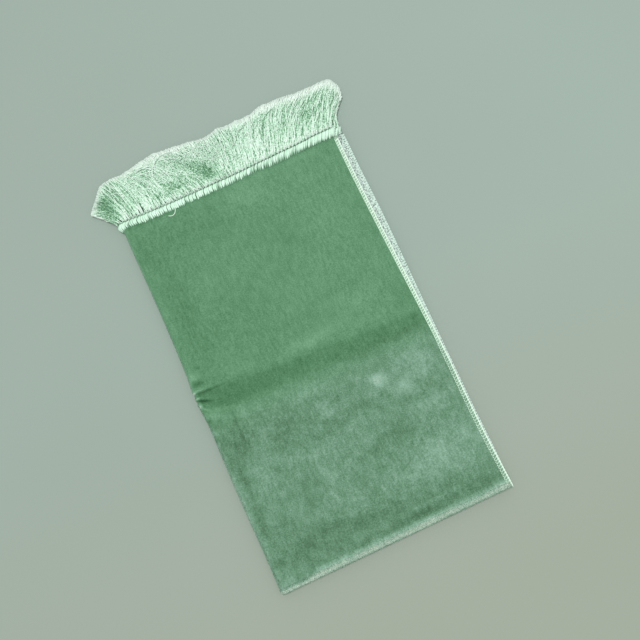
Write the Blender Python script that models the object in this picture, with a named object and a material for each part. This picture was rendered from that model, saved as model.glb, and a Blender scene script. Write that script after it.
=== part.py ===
"""A plush velvet prayer rug with fringed ends, folded in quarters and laid flat.

Every piece is made flat at its real size in rug coordinates: w across the rug
from its middle, s along it from the cross fold, t through it with the pile
side positive. lay_folded() then carries each point to its place in the folded
rug: the rug is folded across its middle with the pile outside, and that packet
is folded lengthwise, the left half going under. Folded coordinates: x from the
lengthwise fold, y from the cross fold, z up from the floor, in metres.
"""

import math

import bmesh
import bpy
import numpy as np

# Driving dimensions, metres
RUG_WIDTH = 0.671  # over both overlocked edges
PILE_LENGTH = 1.086  # from heading to heading
CLOTH_THICKNESS = 0.0028  # woven backing and plush pile together
LAYER_GAP = 0.0008  # air between two layers of the folded rug
SEAM_GAP = 0.0003  # clearance between pieces that are sewn together

OVERLOCK_WIDTH = 0.0055
OVERLOCK_WALL = 0.0005  # thread lying on each face and round the edge
OVERLOCK_ROUNDING = 0.0009

HEADING_WIDTH = 0.0125  # band of yarn that holds the fringe
HEADING_SHORT = 0.0015  # heading stops this far inside each long edge

LOCK_COUNT = 44  # fringe locks on each side of the lengthwise fold, per end
LOCK_SPACING = 0.0013  # air between two locks at the heading
LOCK_TAPER = (1.0, 0.92, 0.66)  # width at root, middle and tip
LOCK_REACH = (0.0, 0.5, 1.0)  # where along the lock those widths are
LOCK_UNEVEN = (0.96, 1.04)  # shortest and longest, as a share of the table's length
FOLD_LOCK_COUNT = 6  # narrow locks round the outer lengthwise fold
FOLD_LOCK_SPACING = 0.0006
FRINGE_TIP_HEIGHT = 0.53  # height of the layers at the tips, as a share of the heading's

# How the fringe lies. root_x is measured on the heading from the lengthwise
# fold; lean is from the rug's long axis, to the right; length is along the lock.
FRINGE_LIE = (
    # root_x, lean in degrees, length
    (-0.005, -50, 0.046),
    (0.000, -32, 0.050),
    (0.008, -15, 0.062),
    (0.030, -12, 0.068),
    (0.075, -21, 0.076),
    (0.100, -20, 0.079),
    (0.145, -9, 0.071),
    (0.170, 1, 0.067),
    (0.205, 10, 0.069),
    (0.240, 14, 0.077),
    (0.300, 20, 0.077),
    (0.320, 25, 0.079),
    (0.330, 37, 0.066),
    (0.340, 36, 0.044),
)

# Soft shape of the top layer
LOFT = 0.0020  # how far the middle of the packet stands up
LOFT_CENTRE = 0.42  # where it is highest, as a share of the folded width
LOFT_RISE = 0.060  # y from the cross fold over which it rises
LOFT_END = (0.460, 0.600)  # y between which it falls to the fringe
ROLL = 0.0016  # extra height of the two rolled folds
ROLL_WIDTH = 0.013
ROLL_END = (0.500, 0.590)
WAVE_HEIGHT = 0.0004  # slight unevenness, with its turns in radians a metre
WAVE_ACROSS = 21
WAVE_ALONG = 11
CREASE_DEPTH = 0.0026  # valley pressed across the middle of the packet
CREASE_FADE = 0.45  # share of its depth that is lost by the open edges
CREASE_LEFT_Y = 0.282
CREASE_RIGHT_Y = 0.266
CREASE_UPPER_SPREAD = 0.007
CREASE_LOWER_SPREAD = 0.017

# Crooked folding: the upper half lies short of the lower one at the open edge
CROOKED = 0.0024
CROOKED_REACH = 0.420  # full from this far above the cross fold

# How the folded edges stray from straight
LEFT, RIGHT = 0, 1  # the lengthwise fold and the open edges
EDGE_STRAY = (
    # side, y, half length, stray in x
    (LEFT, 0.050, 0.060, 0.0010),
    (LEFT, 0.230, 0.040, 0.0010),
    (LEFT, 0.282, 0.024, -0.0024),
    (LEFT, 0.400, 0.080, 0.0018),
    (LEFT, 0.556, 0.013, -0.0034),
    (RIGHT, 0.105, 0.065, -0.0013),
    (RIGHT, 0.480, 0.045, -0.0006),
)

# Edge loops on the flat run beyond the folds, closer together at the crease
WIDTH_LOOPS = (0.016, 0.032, 0.070, 0.120, 0.175, 0.230, 0.280, 0.315)
LENGTH_LOOPS = (
    *(0.010, 0.022, 0.050, 0.110, 0.170, 0.220),
    *(0.242, 0.254, 0.262, 0.269, 0.276, 0.282, 0.290, 0.302),
    *(0.330, 0.400, 0.460, 0.510),
)

HAIRPIN_RADIUS = (CLOTH_THICKNESS + LAYER_GAP) / 2
HAIRPIN_LENGTH = HAIRPIN_RADIUS * math.pi / 2
PACKET_RADIUS = CLOTH_THICKNESS + LAYER_GAP
FOLD_RADIUS = PACKET_RADIUS + HAIRPIN_RADIUS
FOLD_CENTRE = FOLD_RADIUS + CLOTH_THICKNESS / 2
HALF_WIDTH = RUG_WIDTH / 2
HALF_PILE = PILE_LENGTH / 2
FOLDED_WIDTH = FOLD_CENTRE + HALF_WIDTH - PACKET_RADIUS * math.pi / 2
HEADING_START = HALF_PILE + SEAM_GAP
FRINGE_START = HEADING_START + HEADING_WIDTH
FRINGE_START_Y = FRINGE_START - HAIRPIN_LENGTH + HAIRPIN_RADIUS + CLOTH_THICKNESS / 2
FRINGE_LENGTH = max(length for _, _, length in FRINGE_LIE)

SHADE_ANGLE = math.radians(40)
MERGE = 1e-7


def smooth_step(value):
    """0 below 0, 1 above 1, and a smooth rise between."""
    value = np.clip(value, 0.0, 1.0)
    return value * value * (3 - 2 * value)


def bell(distance, half_length):
    """A smooth hump, 1 in the middle and near 0 past twice its half length."""
    return np.exp(-((distance / half_length) ** 2))


def fall(y, between):
    """1 before the first y and 0 after the second, with a smooth fall between."""
    start, end = between
    return 1 - smooth_step((y - start) / (end - start))


def crease_line(x):
    """y of the valley's bottom: it runs down slightly to the right."""
    return CREASE_LEFT_Y + (CREASE_RIGHT_Y - CREASE_LEFT_Y) * x / FOLDED_WIDTH


def crease(x, y):
    """Depth of the valley: steep above its line, long below, shallower to the right."""
    away = y - crease_line(x)
    spread = np.where(away > 0, CREASE_UPPER_SPREAD, CREASE_LOWER_SPREAD)
    return CREASE_DEPTH * bell(away, spread) * (1 - CREASE_FADE * smooth_step(x / FOLDED_WIDTH))


def loft(x, y):
    """How far the top layer stands above its flat height."""
    from_centre = (x / FOLDED_WIDTH - LOFT_CENTRE) / (1 - LOFT_CENTRE)
    across = 1 - np.clip(from_centre, -1, 1) ** 4
    along = smooth_step(y / LOFT_RISE) * fall(y, LOFT_END)
    side_roll = bell(x - FOLD_CENTRE, ROLL_WIDTH) * fall(y, ROLL_END)
    rolls = np.maximum(side_roll, bell(y - HAIRPIN_RADIUS, ROLL_WIDTH))
    waves = WAVE_HEIGHT * np.sin(WAVE_ACROSS * x + WAVE_ALONG * y)
    return (LOFT * across + waves) * along + ROLL * rolls - crease(x, y) * np.maximum(across, rolls)


def stray(x, y):
    """Sideways wander of the folded edges, shared out over the width between them."""
    side = np.clip(x / FOLDED_WIDTH, 0, 1)
    total = np.zeros_like(x)
    for edge, centre, half_length, amount in EDGE_STRAY:
        share = side if edge == RIGHT else 1 - side
        total += amount * share * bell(y - centre, half_length)
    return total


def lay_folded(flat):
    """Carry flat points (w, s, t) to their place (x, y, z) in the folded rug.

    The cross fold is a hairpin of HAIRPIN_RADIUS. The lengthwise fold bends the
    packet round an axis, end A outside and end B inside, so each end takes up
    its own length of cloth there, more unevenly the further from the cross fold.
    """
    w, s, t = flat.T
    turn = np.clip(s / HAIRPIN_RADIUS, -math.pi / 2, math.pi / 2)
    run = np.maximum(np.abs(s) - HAIRPIN_LENGTH, 0)
    level = np.sin(turn)
    freedom = smooth_step(np.abs(s) / CROOKED_REACH)

    w = w - CROOKED * level * freedom
    half_arc = (PACKET_RADIUS + HAIRPIN_RADIUS * level * freedom) * math.pi / 2
    angle = np.clip(w / half_arc, -1, 1) * math.pi / 2
    reach = np.maximum(np.abs(w) - half_arc, 0)

    def place(offset):
        radius = PACKET_RADIUS + (HAIRPIN_RADIUS + offset) * level
        y = HAIRPIN_RADIUS + CLOTH_THICKNESS / 2 - (HAIRPIN_RADIUS + offset) * np.cos(turn) + run
        return FOLD_CENTRE - radius * np.cos(angle) + reach, y, FOLD_CENTRE + radius * np.sin(angle)

    x, y, z = place(t)
    mid_x, mid_y, mid_z = place(0)
    share_of_loft = (mid_z - CLOTH_THICKNESS / 2) / (2 * FOLD_RADIUS)
    z = z + share_of_loft * loft(mid_x, mid_y)
    return np.stack([x + stray(x, y), y, z], axis=1)


def read_points(bm):
    return np.array([v.co[:] for v in bm.verts])


def move_points(bm, points):
    for vert, point in zip(bm.verts, points):
        vert.co = point


def add_loops(bm, axis, stations):
    """Cut an edge loop through the whole piece at each station along an axis."""
    for station in stations:
        origin = [0.0, 0.0, 0.0]
        normal = [0.0, 0.0, 0.0]
        origin[axis] = station
        normal[axis] = 1.0
        geometry = bm.verts[:] + bm.edges[:] + bm.faces[:]
        bmesh.ops.bisect_plane(bm, geom=geometry, dist=MERGE, plane_co=origin, plane_no=normal)


def sweep_section(section, start, end):
    """A bar with a (w, t) cross section, running along the rug from start to end."""
    bm = bmesh.new()
    corners = [bm.verts.new((w, start, t)) for w, t in section]
    face = bm.faces.new(corners)
    swept = bmesh.ops.extrude_face_region(bm, geom=[face])
    moved = [item for item in swept["geom"] if isinstance(item, bmesh.types.BMVert)]
    bmesh.ops.translate(bm, verts=moved, vec=(0.0, end - start, 0.0))
    bmesh.ops.recalc_face_normals(bm, faces=bm.faces)
    return bm


def make_material(name, colour, roughness):
    material = bpy.data.materials.new(name)
    material.use_nodes = True
    shader = material.node_tree.nodes["Principled BSDF"]
    shader.inputs["Base Color"].default_value = (*colour, 1.0)
    shader.inputs["Roughness"].default_value = roughness
    shader.inputs["Metallic"].default_value = 0.0
    material.diffuse_color = (*colour, 1.0)
    return material


def add_piece(name, bm, material, collection, parent):
    mesh = bpy.data.meshes.new(name)
    bm.to_mesh(mesh)
    bm.free()
    mesh.shade_smooth()
    mesh.set_sharp_from_angle(angle=SHADE_ANGLE)
    mesh.materials.append(material)
    piece = bpy.data.objects.new(name, mesh)
    collection.objects.link(piece)
    piece.parent = parent
    return piece


def both_ways(stations):
    """The stations on both sides of a fold, and the fold's own middle."""
    return [-value for value in reversed(stations)] + [0.0] + list(stations)


def lengthwise_fold_loops():
    """Half the loops for the lengthwise fold: closest where the inner layers turn."""
    inner = (PACKET_RADIUS - HAIRPIN_RADIUS) * math.pi / 2
    outer = FOLD_RADIUS * math.pi / 2
    return [*np.linspace(0, inner, 4)[1:], *np.linspace(inner, outer, 5)[1:]]


def cross_fold_loops():
    return [*np.linspace(0, HAIRPIN_LENGTH, 4)[1:]]


def make_cloth():
    """The velvet: one slab whose long edges are thinned to a tongue for the overlock."""
    shoulder = HALF_WIDTH - OVERLOCK_WIDTH
    edge = HALF_WIDTH - OVERLOCK_WALL - SEAM_GAP
    thick = CLOTH_THICKNESS / 2
    thin = thick - OVERLOCK_WALL - SEAM_GAP
    lower_right = [(shoulder, -thick), (shoulder, -thin), (edge, -thin)]
    right_side = lower_right + [(w, -t) for w, t in reversed(lower_right)]
    left_side = [(-w, -t) for w, t in right_side]
    bm = sweep_section(right_side + left_side, -HALF_PILE, HALF_PILE)
    add_loops(bm, 0, [-shoulder, shoulder])
    add_loops(bm, 0, both_ways([*lengthwise_fold_loops(), *WIDTH_LOOPS]))
    add_loops(bm, 1, both_ways([*cross_fold_loops(), *LENGTH_LOOPS]))
    move_points(bm, lay_folded(read_points(bm)))
    return bm


def make_overlock(side):
    """Thread casing round one long edge: a rounded channel that the cloth's tongue enters."""
    outside = CLOTH_THICKNESS / 2
    inside = outside - OVERLOCK_WALL
    mouth = HALF_WIDTH - OVERLOCK_WIDTH + SEAM_GAP
    nose = HALF_WIDTH
    bottom = HALF_WIDTH - OVERLOCK_WALL
    round_off = OVERLOCK_ROUNDING
    upper = [(mouth, inside), (mouth, outside), (nose - round_off, outside), (nose, outside - round_off)]
    lower = [(w, -t) for w, t in reversed(upper)]
    section = upper + lower + [(bottom, -inside), (bottom, inside)]
    section = [(side * w, t) for w, t in section]
    bm = sweep_section(section, -HALF_PILE, HALF_PILE)
    add_loops(bm, 1, both_ways([*cross_fold_loops(), *LENGTH_LOOPS]))
    move_points(bm, lay_folded(read_points(bm)))
    return bm


def row_of_locks(start, end, count, spacing):
    """(from, to) across the heading for each of a row of equal locks."""
    pitch = (end - start) / count
    return [(start + i * pitch + spacing / 2, start + (i + 1) * pitch - spacing / 2) for i in range(count)]


def lock_spans(round_the_fold):
    """Every lock of an end, from left to right on the flat rug."""
    fold_edge = FOLD_RADIUS * math.pi / 2
    right = row_of_locks(fold_edge, HALF_WIDTH - HEADING_SHORT, LOCK_COUNT, LOCK_SPACING)
    left = [(-end, -start) for start, end in reversed(right)]
    folded = row_of_locks(-fold_edge, fold_edge, FOLD_LOCK_COUNT, FOLD_LOCK_SPACING)
    return left + (folded if round_the_fold else []) + right


def make_fringe(end, seed):
    """Heading and locks of one end of the rug; end is 1 for end A and -1 for end B."""
    outermost = end > 0
    spans = np.array(lock_spans(round_the_fold=outermost))
    centres = spans.mean(axis=1)
    half = HALF_WIDTH - HEADING_SHORT
    thick = CLOTH_THICKNESS / 2
    section = [(-half, -thick), (half, -thick), (half, thick), (-half, thick)]
    bm = sweep_section(section, end * HEADING_START, end * FRINGE_START)
    add_loops(bm, 0, sorted(spans.ravel()))
    if not outermost:
        add_loops(bm, 0, both_ways(lengthwise_fold_loops()))

    # The strip's outer side is now one small face for each lock and each space.
    roots = []
    for face in bm.faces:
        middle = face.calc_center_median()
        on_outer_side = abs(middle.y - end * FRINGE_START) < MERGE
        if on_outer_side and np.any((spans[:, 0] < middle.x) & (middle.x < spans[:, 1])):
            roots.append(face)
    for step in range(1, len(LOCK_TAPER)):
        grown = bmesh.ops.extrude_discrete_faces(bm, faces=roots)
        roots = grown["faces"]
        distance = FRINGE_LENGTH * (LOCK_REACH[step] - LOCK_REACH[step - 1])
        taper = LOCK_TAPER[step] / LOCK_TAPER[step - 1]
        for face in roots:
            middle = face.calc_center_median().x
            for vert in face.verts:
                vert.co.x = middle + (vert.co.x - middle) * taper
                vert.co.y += end * distance
    bmesh.ops.recalc_face_normals(bm, faces=bm.faces)

    flat = read_points(bm)
    placed = lay_folded(flat)
    along = np.maximum(end * flat[:, 1] - FRINGE_START, 0)
    lock = np.abs(flat[:, None, 0] - centres[None, :]).argmin(axis=1)
    root_s = np.full_like(centres, end * FRINGE_START)
    root_x = lay_folded(np.stack([centres, root_s, np.zeros_like(centres)], axis=1))[:, 0]
    uneven = np.random.default_rng(seed).uniform(*LOCK_UNEVEN, len(centres))
    place, lean, length = np.array(FRINGE_LIE).T
    lean = np.radians(np.interp(root_x, place, lean))[lock]
    stretch = (np.interp(root_x, place, length) * uneven / FRINGE_LENGTH)[lock]

    # Each lock turns about its own root to the lean that the table gives there.
    growing = along > MERGE
    sideways = placed[:, 0] - root_x[lock]
    distance = along * stretch
    x = root_x[lock] + sideways * np.cos(lean) + distance * np.sin(lean)
    y = FRINGE_START_Y - sideways * np.sin(lean) + distance * np.cos(lean)
    placed[growing, 0] = x[growing]
    placed[growing, 1] = y[growing]
    sink = smooth_step((placed[:, 1] - FRINGE_START_Y) / FRINGE_LENGTH)
    placed[:, 2] *= 1 - (1 - FRINGE_TIP_HEIGHT) * sink
    move_points(bm, placed)
    return bm


def main():
    for item in list(bpy.data.objects):
        bpy.data.objects.remove(item)

    collection = bpy.data.collections.new("prayer_rug")
    bpy.context.scene.collection.children.link(collection)
    stand = bpy.data.objects.new("rug_stand", None)
    collection.objects.link(stand)

    velvet = make_material("velvet_green", (0.130, 0.309, 0.165), 0.9)
    thread = make_material("overlock_thread", (0.42, 0.63, 0.48), 0.7)
    yarn = make_material("fringe_yarn", (0.52, 0.74, 0.58), 0.6)

    pieces = [
        add_piece("velvet_cloth", make_cloth(), velvet, collection, stand),
        add_piece("overlock_right", make_overlock(1), thread, collection, stand),
        add_piece("overlock_left", make_overlock(-1), thread, collection, stand),
        add_piece("fringe_end_a", make_fringe(1, seed=3), yarn, collection, stand),
        add_piece("fringe_end_b", make_fringe(-1, seed=8), yarn, collection, stand),
    ]

    # The rug's reference point is the middle of its outline, on the floor.
    corners = np.array([v.co[:] for piece in pieces for v in piece.data.vertices])
    middle = (corners.min(axis=0) + corners.max(axis=0)) / 2
    stand.location = (-middle[0], -middle[1], 0.0)


main()
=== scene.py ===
# %% [markdown]
# # A velvet prayer rug, folded in quarters
#
# The real rug is one piece of plush velvet, woven with its pile on one side.
# Its long edges are overlocked with pale thread, and a heading with a long
# fringe is sewn to each end. Someone folded it across the middle, then
# lengthwise, and laid it on a plain surface.
#
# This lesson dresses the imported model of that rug. Every piece is worked out
# flat, as the maker had it on the table, and then one function folds it. That
# way the stitches, the yarn and the cloth all bend together, and the same few
# sizes drive them all.

import math

import bpy
import numpy as np
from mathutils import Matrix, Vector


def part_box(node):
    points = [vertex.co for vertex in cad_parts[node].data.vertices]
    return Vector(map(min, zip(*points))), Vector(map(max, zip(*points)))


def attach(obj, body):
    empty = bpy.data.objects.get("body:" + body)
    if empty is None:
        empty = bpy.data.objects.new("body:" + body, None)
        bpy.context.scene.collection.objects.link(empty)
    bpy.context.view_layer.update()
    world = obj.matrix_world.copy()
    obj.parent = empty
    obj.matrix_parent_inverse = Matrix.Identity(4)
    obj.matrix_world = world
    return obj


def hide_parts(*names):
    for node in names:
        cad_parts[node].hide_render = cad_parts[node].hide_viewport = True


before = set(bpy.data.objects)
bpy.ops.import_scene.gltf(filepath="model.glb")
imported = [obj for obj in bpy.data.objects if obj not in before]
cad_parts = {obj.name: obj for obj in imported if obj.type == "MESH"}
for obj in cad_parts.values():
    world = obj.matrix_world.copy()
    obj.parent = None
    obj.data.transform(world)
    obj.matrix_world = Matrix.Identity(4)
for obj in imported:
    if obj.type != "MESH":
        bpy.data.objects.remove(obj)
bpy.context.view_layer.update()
MM = 0.001
print("packed pieces:", sorted(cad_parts))

# %% [markdown]
# ## The sizes that everything follows
#
# These are the rug's own sizes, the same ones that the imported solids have.
# Places on the flat rug are written as w, s and t: w is across the rug from
# its middle, s is along it from the cross fold, and t is through it, with the
# pile side positive. End A is the end that finishes outermost, at positive s.

# %% Sizes of the rug
RUG_WIDTH = 671 * MM
PILE_LENGTH = 1086 * MM
CLOTH_THICKNESS = 2.8 * MM
LAYER_GAP = 0.8 * MM
SEAM_GAP = 0.3 * MM
HEADING_WIDTH = 12.5 * MM
HEADING_SHORT = 1.5 * MM

HALF_WIDTH = RUG_WIDTH / 2
HALF_PILE = PILE_LENGTH / 2
HALF_THICK = CLOTH_THICKNESS / 2
HAIRPIN_RADIUS = (CLOTH_THICKNESS + LAYER_GAP) / 2
HAIRPIN_LENGTH = HAIRPIN_RADIUS * math.pi / 2
PACKET_RADIUS = CLOTH_THICKNESS + LAYER_GAP
FOLD_RADIUS = PACKET_RADIUS + HAIRPIN_RADIUS
FOLD_CENTRE = FOLD_RADIUS + HALF_THICK
FOLDED_WIDTH = FOLD_CENTRE + HALF_WIDTH - PACKET_RADIUS * math.pi / 2
FRINGE_START = HALF_PILE + SEAM_GAP + HEADING_WIDTH
FRINGE_START_Y = FRINGE_START - HAIRPIN_LENGTH + HAIRPIN_RADIUS + HALF_THICK
print("folded width in mm:", round(FOLDED_WIDTH / MM, 1))

# %% [markdown]
# ## Soft shapes
#
# A folded rug isn't flat. The packet is a little puffed, its two folds stand
# up as rolls, and a valley was pressed across its middle, which pinches the
# lengthwise fold in two small wrinkles. Each of these is a smooth hump or
# step, and they are simply added up into a height for every point of the top
# layer.

# %% Humps, bands and steps


def smooth_step(value):
    """0 below 0, 1 above 1, and between them three squares less two cubes."""
    value = np.clip(value, 0.0, 1.0)
    return value * value * (3 - 2 * value)


def bell(distance, half_length):
    """e to the minus square of distance over half length: a smooth hump."""
    return np.exp(-((distance / half_length) ** 2))


def band(place, row):
    """A straight soft band, from a row of middle, half length and height: the height times a bell."""
    middle, half_length, height = row
    return height * bell(place - middle, half_length)


def rise(place, limits):
    """0 before the first limit and 1 after the second, with a smooth rise between."""
    start, end = limits
    return smooth_step((place - start) / (end - start))


def fall(place, limits):
    """1 before the first limit and 0 after the second, with a smooth fall between."""
    return 1 - rise(place, limits)


def blend(pair, share):
    """The first of a pair where share is 0, the second where it is 1, and even steps between."""
    first, second = pair
    return first + (second - first) * share


# %% Height of the top layer
LOFT = 2.0 * MM
LOFT_CENTRE = 0.42
LOFT_RISE = 60 * MM
LOFT_END = (460 * MM, 600 * MM)
ROLL = 1.6 * MM
ROLL_WIDTH = 13 * MM
ROLL_END = (500 * MM, 590 * MM)
WAVE_HEIGHT = 0.4 * MM
WAVE_ACROSS = 21
WAVE_ALONG = 11
CREASE_DEPTH = 2.6 * MM
CREASE_FADE = 0.45
CREASE_Y = (282 * MM, 266 * MM)  # at the folded side and at the open one
CREASE_UPPER_SPREAD = 7 * MM
CREASE_LOWER_SPREAD = 17 * MM


def humps(x, y, table):
    """Sum of long soft humps.

    Each row gives x, y, half length and half width in mm, a turn in degrees and
    a height. A hump is its height times a bell along its turned length times a
    bell across it.
    """
    total = np.zeros_like(x)
    for centre_x, centre_y, half_length, half_width, turn, height in table:
        along_x, along_y = math.cos(math.radians(turn)), math.sin(math.radians(turn))
        dx, dy = x - centre_x * MM, y - centre_y * MM
        along = dx * along_x + dy * along_y
        across = dy * along_x - dx * along_y
        total += height * bell(along, half_length * MM) * bell(across, half_width * MM)
    return total


# Small wrinkles that only the fine surface carries, with heights in mm.
WRINKLES = (
    # x, y, half length, half width, turn, height
    (12, 285.3, 22, 1.8, -2, -2.6),
    (10, 289.6, 14, 1.8, -2, 0.9),
    (9, 280.8, 15, 1.8, -8, 1.0),
    (9, 274.2, 15, 1.9, -22, -2.6),
    (5, 267.5, 9, 2.0, -36, 0.9),
    (8, 298.0, 9, 3.4, 8, -0.7),
    (60, 283.0, 34, 3.0, -3, -0.7),
    (215, 273.0, 80, 2.6, -2, -0.8),
    (6, 245.5, 7, 2.4, 4, -1.0),
    (14, 219.0, 12, 2.6, 4, -0.6),
    (18, 320.0, 10, 2.2, -16, -0.5),
    (250, 29.0, 42, 2.4, 3, 1.0),
    (262, 21.0, 46, 3.4, 4, -0.9),
    (200, 14.0, 60, 3.0, 2, -0.5),
    (120, 120.0, 60, 26.0, 25, 0.6),
    (225, 190.0, 55, 30.0, -30, 0.7),
    (160, 70.0, 50, 18.0, 10, -0.6),
    (90, 410.0, 70, 40.0, 15, 0.5),
    (235, 450.0, 60, 32.0, -20, 0.6),
)


def crease_line(x):
    """The y of the valley's line, which runs straight from one side to the other."""
    return blend(CREASE_Y, x / FOLDED_WIDTH)


def crease(x, y):
    """Depth of the valley: steep above its line, long below, shallower to the right."""
    line = crease_line(x)
    spread = np.where(y > line, CREASE_UPPER_SPREAD, CREASE_LOWER_SPREAD)
    depth = CREASE_DEPTH * (1 - CREASE_FADE * smooth_step(x / FOLDED_WIDTH))
    return depth * bell(y - line, spread)


def loft(x, y):
    """How far the top layer stands above its flat height.

    The puffed middle and its waves, each times a fade at the ends, plus the
    rolls along the two folds, less the valley, plus the fine wrinkles.
    """
    from_centre = (x / FOLDED_WIDTH - LOFT_CENTRE) / (1 - LOFT_CENTRE)
    across = 1 - np.clip(from_centre, -1, 1) ** 4
    along = smooth_step(y / LOFT_RISE) * fall(y, LOFT_END)
    side_roll = bell(x - FOLD_CENTRE, ROLL_WIDTH) * fall(y, ROLL_END)
    rolls = np.maximum(side_roll, bell(y - HAIRPIN_RADIUS, ROLL_WIDTH))
    waves = WAVE_HEIGHT * np.sin(WAVE_ACROSS * x + WAVE_ALONG * y)
    puffed = (LOFT * across + waves) * along + ROLL * rolls
    return puffed - crease(x, y) * np.maximum(across, rolls) + MM * humps(x, y, WRINKLES)


# %% How the folded edges stray from straight
LEFT, RIGHT = 0, 1
EDGE_STRAY = (
    # side, then y, half length and stray in x, in mm
    (LEFT, 50, 60, 1.0),
    (LEFT, 230, 40, 1.0),
    (LEFT, 282, 24, -2.4),
    (LEFT, 400, 80, 1.4),
    (LEFT, 548, 5, -4.4),
    (LEFT, 562, 10, -1.6),
    (RIGHT, 105, 65, -1.3),
    (RIGHT, 480, 45, -0.6),
    # where the crease's two wrinkles pinch the fold
    (LEFT, 285.5, 2.4, 1.2),
    (LEFT, 276.5, 2.4, 1.0),
)


def stray(x, y):
    """Sum of bells along each edge, shared out over the width between the edges."""
    side = np.clip(x / FOLDED_WIDTH, 0, 1)
    total = np.zeros_like(x)
    for edge, centre, half_length, amount in EDGE_STRAY:
        share = side if edge == RIGHT else 1 - side
        total += amount * MM * share * bell(y - centre * MM, half_length * MM)
    return total


# %% [markdown]
# ## Folding
#
# A paper fold would be two sharp lines. Plush cloth turns in a small round
# hairpin at the first fold, and the second fold bends the two layers together
# round one axis, one inside the other. The outer end uses more cloth in the
# turn, so its edge falls short: this is why the lower layer peeps out along
# the open side.
#
# The rug wasn't folded quite square either. At the cross fold the two halves
# hold each other in place. Away from it, and most in the upper part, they
# drift apart: in the two upper layers the outer half goes to the left and the
# inner one to the right. All of that is in one function of w, s and t.

# %% Fold the flat rug
CROOKED = 2.4 * MM  # how far each half drifts in all
CROOKED_RUNS = (
    # how far from the cross fold the drift sets in and over what length, in mm, and its share of the whole
    (0, 80, 0.2),
    (180, 270, 0.8),
)


def crooked_share(s):
    """0 at the cross fold, 1 near the ends: the rising steps of CROOKED_RUNS added up."""
    far = np.abs(s) / MM
    return sum(share * smooth_step((far - start) / length) for start, length, share in CROOKED_RUNS)


def lay_folded(w, s, t):
    """Carry flat points to their place in the folded rug.

    The cross fold is a half circle whose radius grows with t. The lengthwise
    fold is a half circle round the packet's axis: x and z are the centre plus
    radius times cosine and sine of w over the arc. The loft is added in full
    at the top layer, not at all on the floor, and by height between them.
    """
    w, s, t = np.broadcast_arrays(w, s, t)
    turn = np.clip(s / HAIRPIN_RADIUS, -math.pi / 2, math.pi / 2)
    run = np.maximum(np.abs(s) - HAIRPIN_LENGTH, 0)
    level = np.sin(turn)
    freedom = crooked_share(s)

    across = w - CROOKED * level * freedom
    half_arc = (PACKET_RADIUS + HAIRPIN_RADIUS * level * freedom) * math.pi / 2
    angle = np.clip(across / half_arc, -1, 1) * math.pi / 2
    reach = np.maximum(np.abs(across) - half_arc, 0)

    def carried(through):
        """x, y and z of points that are this far through the cloth, before the loft."""
        radius = PACKET_RADIUS + (HAIRPIN_RADIUS + through) * level
        y = HAIRPIN_RADIUS + HALF_THICK - (HAIRPIN_RADIUS + through) * np.cos(turn) + run
        return FOLD_CENTRE - radius * np.cos(angle) + reach, y, FOLD_CENTRE + radius * np.sin(angle)

    x, y, z = carried(t)
    mid_x, mid_y, mid_z = carried(0 * t)
    z = z + (mid_z - HALF_THICK) / (2 * FOLD_RADIUS) * loft(mid_x, mid_y)
    return np.stack([x + stray(x, y), y, z], axis=-1)


# The rug's own corner is measured, so that the dressed rug lies on the solids.
near_fold = np.linspace(-CROOKED, CROOKED, 13)[:, None]
fold_side = lay_folded(near_fold, np.linspace(0, HALF_PILE, 1500)[None, :], HALF_THICK)
cloth_low, cloth_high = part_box("velvet_cloth")
RUG_SHIFT = np.array([cloth_low[0] - fold_side[..., 0].min(), cloth_low[1], 0.0])
print("rug corner in the model, mm:", (RUG_SHIFT / MM).round(2))

# %% [markdown]
# ## Putting numpy surfaces into meshes
#
# Each piece is an array of points and an array of faces. Blender takes whole
# arrays with foreach_set, which is far quicker than adding faces in a loop.
# Two kinds of surface are enough here: a grid that is closed one way round,
# like a sleeve, and many thin tubes along paths, for thread and yarn.

# %% Mesh helpers
FLOOR_GAP = 0.05 * MM


def add_piece(name, points, face_sets, materials, face_material=None, values=None):
    """A mesh object from points (n, 3) and arrays of faces; values are kept per point."""
    mesh = bpy.data.meshes.new(name)
    points = points.reshape(-1, 3) + RUG_SHIFT
    mesh.vertices.add(len(points))
    mesh.vertices.foreach_set("co", points.astype(np.float32).ravel())
    corners = np.concatenate([faces.ravel() for faces in face_sets])
    sizes = np.concatenate([np.full(len(faces), faces.shape[1]) for faces in face_sets])
    mesh.loops.add(len(corners))
    mesh.loops.foreach_set("vertex_index", corners.astype(np.int32))
    mesh.polygons.add(len(sizes))
    mesh.polygons.foreach_set("loop_start", (np.cumsum(sizes) - sizes).astype(np.int32))
    for material in materials:
        mesh.materials.append(material)
    if face_material is not None:
        mesh.polygons.foreach_set("material_index", face_material.astype(np.int32))
    for key, value in (values or {}).items():
        layer = mesh.attributes.new(key, "FLOAT", "POINT")
        layer.data.foreach_set("value", np.broadcast_to(value, len(points)).astype(np.float32))
    mesh.update()
    mesh.shade_smooth()
    piece = bpy.data.objects.new(name, mesh)
    bpy.context.scene.collection.objects.link(piece)
    triangles = int((sizes - 2).sum())
    print(f"{name}: {triangles} triangles")
    return piece


def sleeve_faces(rows, columns):
    """Quads of a grid whose columns close into a ring; row after row of points."""
    row, column = np.meshgrid(np.arange(rows - 1), np.arange(columns), indexing="ij")
    after = (column + 1) % columns
    here, above = row * columns, (row + 1) * columns
    return np.stack([here + column, here + after, above + after, above + column], axis=-1).reshape(-1, 4)


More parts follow.
